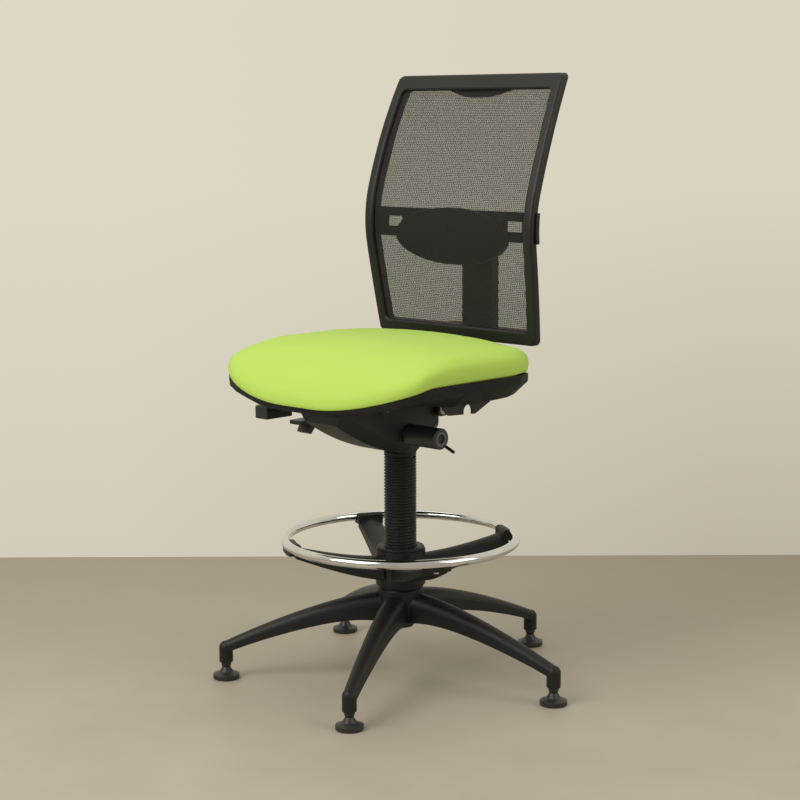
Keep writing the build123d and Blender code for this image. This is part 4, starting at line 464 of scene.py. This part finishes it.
def back_weave(material):
    """The back's open weave: level weft ribbons, with warp strands passing before and behind them."""
    rng = np.random.default_rng(WEAVE_SEED)
    start, end = run_at(WINDOW_LOW_Z) - WINDOW_TUCK, run_at(WINDOW_HIGH_Z) + WINDOW_TUCK
    rows = int((end - start) / WEFT_PITCH)
    first = start + (end - start - (rows - 1) * WEFT_PITCH) / 2
    parts = []
    for i in range(rows):
        run = first + i * WEFT_PITCH
        half = window_half_width(back_place(run)[1]) + WINDOW_TUCK
        stray = np.convolve(rng.normal(0, WEFT_STRAY, WEFT_RINGS + 3), np.ones(4) / 4, "valid")
        rings = []
        for j in range(WEFT_RINGS):
            x = half * (2 * j / (WEFT_RINGS - 1) - 1)
            thick = WEFT_HALF_THICKNESS * (1 + WEFT_RIPPLE * math.sin(WEFT_RIPPLE_STEP * j + i))
            wide = WEFT_HALF_WIDTH * WEFT_TURNS[i % 2]
            rings.append(strand_ring(x, run, 0.0, False, stray[j], wide, thick))
        parts.append(tube(rings))
    strands = int(2 * max(w for _, w in WINDOW_WIDTHS) / WARP_PITCH)
    for k in range(strands):
        x = (k - (strands - 1) / 2) * WARP_PITCH
        rings = []
        for j in range(0, rows, 2):
            run = first + j * WEFT_PITCH
            if abs(x) > window_half_width(back_place(run)[1]) + WINDOW_TUCK:
                continue
            sway = WARP_SWAY * (1 if (j // 2 + k) % 2 else -1)
            wide = WARP_HALF_WIDTH * WARP_TURNS[k % 2]
            rings.append(strand_ring(x, run, sway, True, 0.0, wide, WARP_HALF_THICKNESS))
        if len(rings) > 2:
            parts.append(tube(rings))
    points, faces = gather(parts)
    weave = mesh_from("back_weave", points, faces, material)
    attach(weave, "backrest")
    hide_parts("back_mesh")


def turned_ring(points, sides):
    """Points and faces of a closed ring turned about the column's axis from a loop of radius and height."""
    count = len(points)
    made = [(r * math.cos(2 * math.pi * i / sides), r * math.sin(2 * math.pi * i / sides), z)
            for i in range(sides) for r, z in points]
    faces = []
    for i in range(sides):
        k = (i + 1) % sides
        for j in range(count):
            n = (j + 1) % count
            faces.append((i * count + j, k * count + j, k * count + n, i * count + n))
    return made, faces


def threaded_sleeve(material):
    """The column's sleeve with one running thread between two plain collars."""
    sides = SLEEVE_SIDES
    flank = (THREAD_PITCH - CREST_FLAT - ROOT_FLAT) / 2
    section = ((CREST_RADIUS, 0.0), (CREST_RADIUS, CREST_FLAT), (ROOT_RADIUS, CREST_FLAT + flank),
               (ROOT_RADIUS, THREAD_PITCH - flank), (CREST_RADIUS, THREAD_PITCH))
    low = SLEEVE_LOW_Z + THREAD_END
    turns = int((SLEEVE_HIGH_Z - SLEEVE_LOW_Z - 2 * THREAD_END) / THREAD_PITCH) - 1
    points, faces = [], []
    steps = turns * sides
    for i in range(steps + 1):
        turn = 2 * math.pi * i / sides
        rise = low + THREAD_PITCH * i / sides
        for r, z in section:
            points.append((r * math.cos(turn), r * math.sin(turn), rise + z))
    wide = len(section)
    for i in range(steps):
        for j in range(wide - 1):
            faces.append((i * wide + j, (i + 1) * wide + j, (i + 1) * wide + j + 1, i * wide + j + 1))
    edge, lip = COLLAR_EDGE, CREST_RADIUS + COLLAR_PROUD
    collars = []
    for z0, z1 in ((SLEEVE_LOW_Z, SLEEVE_LOW_Z + SLEEVE_COLLAR + COLLAR_OVERLAP),
                   (SLEEVE_HIGH_Z - SLEEVE_COLLAR - COLLAR_OVERLAP, SLEEVE_HIGH_Z)):
        collars.append(turned_ring([(SLEEVE_BORE, z0), (lip - edge, z0), (lip, z0 + edge), (lip, z1 - edge),
                                    (lip - edge, z1), (SLEEVE_BORE, z1)], sides))
    points, faces = gather([(points, faces), *collars])
    sleeve = mesh_from("threaded_sleeve", points, faces, material, smooth=False)
    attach(sleeve, "base")
    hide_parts("column_sleeve")


def evaluated(made):
    graph = bpy.context.evaluated_depsgraph_get()
    return bpy.data.meshes.new_from_object(made.evaluated_get(graph))


def coordinates(mesh):
    found = np.zeros(len(mesh.vertices) * 3)
    mesh.vertices.foreach_get("co", found)
    return found.reshape(-1, 3)


def set_coordinates(mesh, points):
    mesh.vertices.foreach_set("co", points.ravel())
    mesh.update()


def normals(mesh):
    found = np.zeros(len(mesh.vertices) * 3)
    mesh.vertices.foreach_get("normal", found)
    return found.reshape(-1, 3)


def remade(made, kind, **settings):
    """Applies one modifier to the object."""
    modifier = made.modifiers.new("step", kind)
    for key, value in settings.items():
        setattr(modifier, key, value)
    mesh = evaluated(made)
    made.modifiers.clear()
    made.data = mesh


def inflate(pad, held):
    """Blows the cover up under pressure while its underside is held."""
    group = pad.vertex_groups.new(name="held")
    group.add([int(i) for i in np.nonzero(held)[0]], 1.0, "REPLACE")
    cloth = pad.modifiers.new("cover", "CLOTH")
    cloth.settings.quality = 6
    cloth.settings.mass = 0.25
    cloth.settings.tension_stiffness = 18
    cloth.settings.compression_stiffness = 18
    cloth.settings.shear_stiffness = 6
    cloth.settings.bending_stiffness = 3
    cloth.settings.use_pressure = True
    cloth.settings.uniform_pressure_force = 4.0
    cloth.settings.vertex_group_mass = "held"
    cloth.settings.effector_weights.gravity = 0
    cloth.collision_settings.use_collision = False
    cloth.point_cache.frame_start, cloth.point_cache.frame_end = 1, SIM_FRAMES
    for number in range(1, SIM_FRAMES + 1):
        scene.frame_set(number)
    mesh = evaluated(pad)
    pad.modifiers.clear()
    scene.frame_set(1)
    pad.vertex_groups.clear()
    pad.data = mesh


def seam_z(y):
    """The seam's height, level in the middle and falling in an arc to the front and rear edges."""
    (bend, fall), end = (SEAM_FRONT, SEAT_FRONT_Y) if y < SEAM_FRONT[0] else (SEAM_REAR, SEAT_REAR_Y)
    ahead = max(0.0, (y - bend) * math.copysign(1, end - bend))
    radius = ((end - bend) ** 2 + fall**2) / (2 * fall)
    return SEAM_Z - radius + math.sqrt(radius**2 - ahead**2)


def pad_height(y):
    """The pad's height over the seam at y, and the share of it left by the rolled ends."""
    if y < SEAM_FRONT[0] / 2:
        edge = min(max(y - SEAT_FRONT_Y, 0.0) / PAD_FRONT_ROLL, 1.0)
        low, rise = PAD_FRONT_HEIGHT, math.sin(edge * math.pi / 2) ** 2
    else:
        edge = min(max(SEAT_REAR_Y - y, 0.0) / PAD_REAR_ROLL, 1.0)
        low, rise = PAD_REAR_HEIGHT, math.sqrt(1 - (1 - edge) ** 2)
    return low + (PAD_HEIGHT - low) * rise, edge


def pad_half_width(y):
    half = SEAT_HALF_WIDTH
    for (across, deep), gap in ((FRONT_CORNER, y - SEAT_FRONT_Y), (REAR_CORNER, SEAT_REAR_Y - y)):
        share = 1 - min(max(gap, 0.0) / deep, 1.0)
        half -= across * (1 - math.sqrt(1 - share**2))
    return half


def pad_top(x, y):
    height, edge = pad_height(y)
    shoulder = pad_half_width(y) - PAD_SHOULDER * height / PAD_HEIGHT
    crown = max(0.0, 1 - (x / shoulder) ** 2)
    return seam_z(y) + height * (PAD_SHOULDER_SHARE + PAD_CROWN_SHARE * crown) + PAD_CROWN * edge * crown


def pad_outline(count):
    """Evenly spaced points round the seat's plan, from its side past the rear, and their outward normals."""
    turns = np.linspace(0, math.pi / 2, CORNER_STEPS)
    rear = np.stack([SEAT_HALF_WIDTH - REAR_CORNER[0] * (1 - np.cos(turns)),
                     SEAT_REAR_Y - REAR_CORNER[1] * (1 - np.sin(turns))], 1)
    front = np.stack([SEAT_HALF_WIDTH - FRONT_CORNER[0] * (1 - np.cos(turns)),
                      SEAT_FRONT_Y + FRONT_CORNER[1] * (1 - np.sin(turns))], 1)
    loop = np.concatenate([rear, rear[::-1] * (-1, 1), front * (-1, 1), front[::-1], rear[:1]])
    steps = np.concatenate([[0.0], np.cumsum(np.linalg.norm(np.diff(loop, axis=0), axis=1))])
    at = np.linspace(0, steps[-1], count, endpoint=False)
    points = np.stack([np.interp(at, steps, loop[:, 0]), np.interp(at, steps, loop[:, 1])], 1)
    along = np.roll(points, -2, axis=0) - np.roll(points, 2, axis=0)
    outward = np.stack([along[:, 1], -along[:, 0]], 1)
    return points, outward / np.linalg.norm(outward, axis=1)[:, None]


def grid_rim(cells):
    """The places round a square grid's edge, anticlockwise from the middle of its right side."""
    half = cells // 2
    right = [(cells, j) for j in range(half, cells)]
    top = [(i, cells) for i in range(cells, 0, -1)]
    left = [(0, j) for j in range(cells, 0, -1)]
    low = [(i, 0) for i in range(cells)]
    return right + top + left + low + [(cells, j) for j in range(half)]


def filled(rim, cells):
    """A grid of plan points inside a loop, by easing each ring of cells towards the loop's middle."""
    places = np.zeros((cells + 1, cells + 1, 2))
    middle = rim.mean(axis=0)
    half = cells / 2
    order = {place: n for n, place in enumerate(grid_rim(cells))}
    for i in range(cells + 1):
        for j in range(cells + 1):
            u, v = i / half - 1, j / half - 1
            size = max(abs(u), abs(v))
            if size == 0:
                places[i, j] = middle
                continue
            edge = [round((share / size + 1) * half * RIM_STEPS) / RIM_STEPS for share in (u, v)]
            low = (math.floor(edge[0]), math.floor(edge[1]))
            high = (math.ceil(edge[0]), math.ceil(edge[1]))
            share = (edge[0] - low[0]) + (edge[1] - low[1])
            point = rim[order[low]] * (1 - share) + rim[order[high]] * share
            places[i, j] = middle + (point - middle) * size
    return places


def pad_form():
    """Points and faces of the pad: a top grid, rings down its side to the hem, and an underside grid."""
    cells = PAD_CELLS
    outline, outward = pad_outline(4 * cells)
    rings = []
    for inset in PAD_RINGS:
        ring = []
        for (ex, ey), (nx, ny) in zip(outline, outward):
            x, y = ex - nx * inset, ey - ny * inset
            height = pad_height(ey - ny * PAD_SHOULDER)[0]
            reach = PAD_SHOULDER * height / PAD_HEIGHT
            if inset < reach:
                rise = math.sqrt(1 - (1 - inset / reach) ** 2)
                z = seam_z(y) + height * (PAD_WIDEST_SHARE + PAD_SIDE_SHARE * rise)
            else:
                z = max(pad_top(x, y), seam_z(y) + PAD_SHOULDER_SHARE * height)
            ring.append((x, y, z))
        rings.append(ring)
    for share in PAD_LOWER_SHARES:
        ring = []
        for (ex, ey), (nx, ny) in zip(outline, outward):
            height = pad_height(ey - ny * PAD_SHOULDER)[0]
            inset = PAD_UNDERCUT * height / PAD_HEIGHT * (1 - share / PAD_WIDEST_SHARE) ** 2
            y = ey - ny * inset
            ring.append((ex - nx * inset, y, seam_z(y) + height * share + PAD_LIFT))
        rings.append(ring)
    count = 4 * cells
    points, faces = [], []
    rim = grid_rim(cells)
    grids = []
    for ring, top in ((rings[0], True), (rings[-1], False)):
        plan = filled(np.array([p[:2] for p in ring]), cells)
        start = len(points)
        for i in range(cells + 1):
            for j in range(cells + 1):
                x, y = plan[i, j]
                points.append((x, y, pad_top(x, y) if top else seam_z(y) + PAD_LIFT))
        for n, (i, j) in enumerate(rim):
            points[start + i * (cells + 1) + j] = ring[n]
        for i in range(cells):
            for j in range(cells):
                a, b = start + i * (cells + 1) + j, start + (i + 1) * (cells + 1) + j
                faces.append((a, b, b + 1, a + 1) if top else (a, a + 1, b + 1, b))
        grids.append([start + i * (cells + 1) + j for i, j in rim])
    loops = [grids[0]]
    for ring in rings[1:-1]:
        start = len(points)
        points += ring
        loops.append(list(range(start, start + count)))
    loops.append(grids[1])
    for upper, lower in zip(loops, loops[1:]):
        for n in range(count):
            k = (n + 1) % count
            faces.append((upper[n], lower[n], lower[k], upper[k]))
    return points, faces


def hem_fade(points, held):
    """0 on the held underside, rising to 1 at a given distance from it."""
    tree = KDTree(int(held.sum()))
    for i in np.nonzero(held)[0]:
        tree.insert(points[i], int(i))
    tree.balance()
    return np.array([min(1.0, tree.find(p)[2] / PAD_HEM) for p in points])


def eased(mesh, moves, rounds):
    """Movements evened out between neighbouring points, so that the cover keeps no small folds."""
    pairs = np.zeros(len(mesh.edges) * 2, dtype=int)
    mesh.edges.foreach_get("vertices", pairs)
    first, second = pairs.reshape(-1, 2).T
    beside = np.bincount(pairs, minlength=len(moves))[:, None]
    for _ in range(rounds):
        total = np.zeros_like(moves)
        np.add.at(total, first, moves[second])
        np.add.at(total, second, moves[first])
        moves = (moves + total / beside) / 2
    return moves


def seat_pad(material):
    """The upholstered pad: its form drawn in a little, then blown up with its underside held."""
    points, faces = pad_form()
    pad = mesh_from("seat_pad", points, faces, material)
    form = coordinates(pad.data)
    held = form[:, 2] < np.array([seam_z(y) for y in form[:, 1]]) + PAD_HELD_MARGIN
    inset = np.where(held, 0.0, PAD_START_INSET)
    set_coordinates(pad.data, form - normals(pad.data) * inset[:, None])
    inflate(pad, held)
    moved = coordinates(pad.data) - form
    far = np.linalg.norm(moved, axis=1)
    share = np.minimum(1.0, PAD_TRAVEL / np.maximum(far, 1e-9)) * hem_fade(form, held)
    set_coordinates(pad.data, form + eased(pad.data, moved * share[:, None], PAD_EASING))
    remade(pad, "SUBSURF", levels=1, render_levels=1)
    pad.data.materials.clear()
    pad.data.materials.append(material)
    pad.data.polygons.foreach_set("use_smooth", [True] * len(pad.data.polygons))
    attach(pad, "seat")
    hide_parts("seat_cushion")


def place_camera():
    right = Vector((math.cos(AZIMUTH), math.sin(AZIMUTH), 0))
    level = Vector((-math.sin(AZIMUTH), math.cos(AZIMUTH), 0))
    ahead = level * math.cos(TILT) - Vector((0, 0, math.sin(TILT)))
    up = level * math.sin(TILT) + Vector((0, 0, math.cos(TILT)))
    across = right * math.cos(ROLL) + up * math.sin(ROLL)
    above = up * math.cos(ROLL) - right * math.sin(ROLL)
    data = bpy.data.cameras.new("camera")
    data.lens = LENS
    data.sensor_width = 36.0
    data.sensor_fit = "HORIZONTAL"
    camera = linked("camera", data)
    turn = Matrix((across, above, -ahead)).transposed().to_4x4()
    camera.matrix_world = Matrix.Translation(-level * CAMERA_DISTANCE + Vector((0, 0, CAMERA_HEIGHT))) @ turn
    scene.camera = camera


def lamp(name, place, target, size, power, colour):
    data = bpy.data.lights.new(name, "AREA")
    data.shape = "RECTANGLE"
    data.size, data.size_y = size
    data.energy = power
    data.color = colour
    made = linked(name, data)
    made.location = place
    made.rotation_mode = "QUATERNION"
    made.rotation_quaternion = (Vector(target) - Vector(place)).to_track_quat("-Z", "Y")


def seen(tree):
    """1 for what the camera sees, straight, mirrored or through glass."""
    path = put(tree, "LightPath").outputs
    some = maths(tree, "ADD", path["Is Camera Ray"], path["Is Glossy Ray"])
    return maths(tree, "ADD", some, path["Is Transmission Ray"], clamp=True)


def set_stage():
    right = Vector((math.cos(AZIMUTH), math.sin(AZIMUTH), 0))
    level = Vector((-math.sin(AZIMUTH), math.cos(AZIMUTH), 0))

    def along(tree, at, axis):
        return put(tree, "VectorMath", {0: at, 1: tuple(axis)}, operation="DOT_PRODUCT").outputs["Value"]

    def wall_with_painted_shade(tree, side, low):
        """The wall's colour with painted shade, darker to the right and towards the floor, from two shares of
        0 to 1.
        """
        fade = maths(tree, "MULTIPLY", low, scaled(tree, side, WALL_LOW_PAINTED_SHADE, WALL_CORNER_PAINTED_SHADE))
        fade = maths(tree, "ADD", fade, maths(tree, "MULTIPLY", side, WALL_SIDE_PAINTED_SHADE), clamp=True)
        return mixed(tree, fade, WALL_COLOUR, WALL_SHADE)

    def spread(tree, value, low, high):
        return put(tree, "MapRange", {"Value": value, "From Min": low, "From Max": high}).outputs[0]

    world = bpy.data.worlds.new("studio")
    scene.world = world
    world.use_nodes = True
    tree = world.node_tree
    tree.nodes.clear()
    ray = put(tree, "TexCoord").outputs["Generated"]
    side = maths(tree, "DIVIDE", along(tree, ray, right), along(tree, ray, level))
    # What the camera sees of the world is the wall with painted shade, darker to the right
    tone = wall_with_painted_shade(tree, spread(tree, side, *WALL_SIDES), 0.0)
    tone = mixed(tree, spread(tree, along(tree, ray, level), *ROOM_FADE), tone, ROOM_COLOUR)
    soft = put(tree, "Background", {"Color": SKY_COLOUR, "Strength": SKY_STRENGTH})
    shown = put(tree, "Background", {"Color": tone, "Strength": 1.0})
    both = put(tree, "MixShader", {0: seen(tree), 1: soft.outputs[0], 2: shown.outputs[0]})
    put(tree, "OutputWorld", {"Surface": both.outputs[0]})

    material = bpy.data.materials.new("stage_floor")
    material.use_nodes = True
    tree = material.node_tree
    tree.nodes.clear()
    at = put(tree, "NewGeometry").outputs["Position"]
    far = along(tree, at, level)
    away = maths(tree, "ADD", far, CAMERA_DISTANCE)
    side = spread(tree, maths(tree, "DIVIDE", along(tree, at, right), away), *WALL_SIDES)
    mottle = noise(tree, at, 3.5, 6.0, 0.6)
    speck = noise(tree, at, 160.0, 3.0, 0.6)
    tone = ramp(tree, mottle, (0.3, shade(FLOOR_COLOUR, 0.92)), (0.7, shade(FLOOR_COLOUR, 1.06)))
    tone = mixed(tree, scaled(tree, speck, 0.0, 0.14), tone, shade(FLOOR_COLOUR, 0.82))
    # Painted shade: the floor darkens towards the wall and to the right
    far_floor_shade = maths(tree, "MULTIPLY", spread(tree, far, FLOOR_FADE_START, BACKDROP_START),
                 scaled(tree, side, *FLOOR_FADE))
    tone = mixed(tree, far_floor_shade, tone, FLOOR_FAR_SHADE)
    ground = put(tree, "BsdfPrincipled", {"Base Color": tone, "Roughness": scaled(tree, mottle, 0.42, 0.62),
                                          "Specular IOR Level": 0.3})
    # Past BACKDROP_START the floor glows as the wall backdrop for camera and mirrored rays, with painted
    # shade darker to the right and towards the floor
    low = spread(tree, maths(tree, "DIVIDE", CAMERA_HEIGHT, away), CAMERA_HEIGHT / WALL_PAINTED_SHADE_START,
                 CAMERA_HEIGHT / (CAMERA_DISTANCE + BACKDROP_START))
    wall = put(tree, "Emission", {"Color": wall_with_painted_shade(tree, side, low), "Strength": seen(tree)})
    beyond = maths(tree, "GREATER_THAN", far, BACKDROP_START)
    both = put(tree, "MixShader", {0: beyond, 1: ground.outputs[0], 2: wall.outputs[0]})
    put(tree, "OutputMaterial", {"Surface": both.outputs[0]})
    corners = [(x * FLOOR_HALF_SIZE, y * FLOOR_HALF_SIZE, 0) for x, y in ((-1, -1), (1, -1), (1, 1), (-1, 1))]
    floor = mesh_from("stage_floor", corners, [(0, 1, 2, 3)], material, smooth=False)

    for name, (side, near, high), target, size, power, colour in LAMPS:
        place = right * side - level * near + Vector((0, 0, high))
        lamp(name, place, (0, 0, target), size, power, colour)


place_camera()
set_stage()
finishes = make_finishes()
for node in nodes.values():
    for slot in node.material_slots:
        slot.material = finishes[slot.material.name.split(".")[0]]
seat_pad(finishes["seat_fabric"])
back_weave(finishes["back_fabric"])
threaded_sleeve(finishes["base_plastic"])
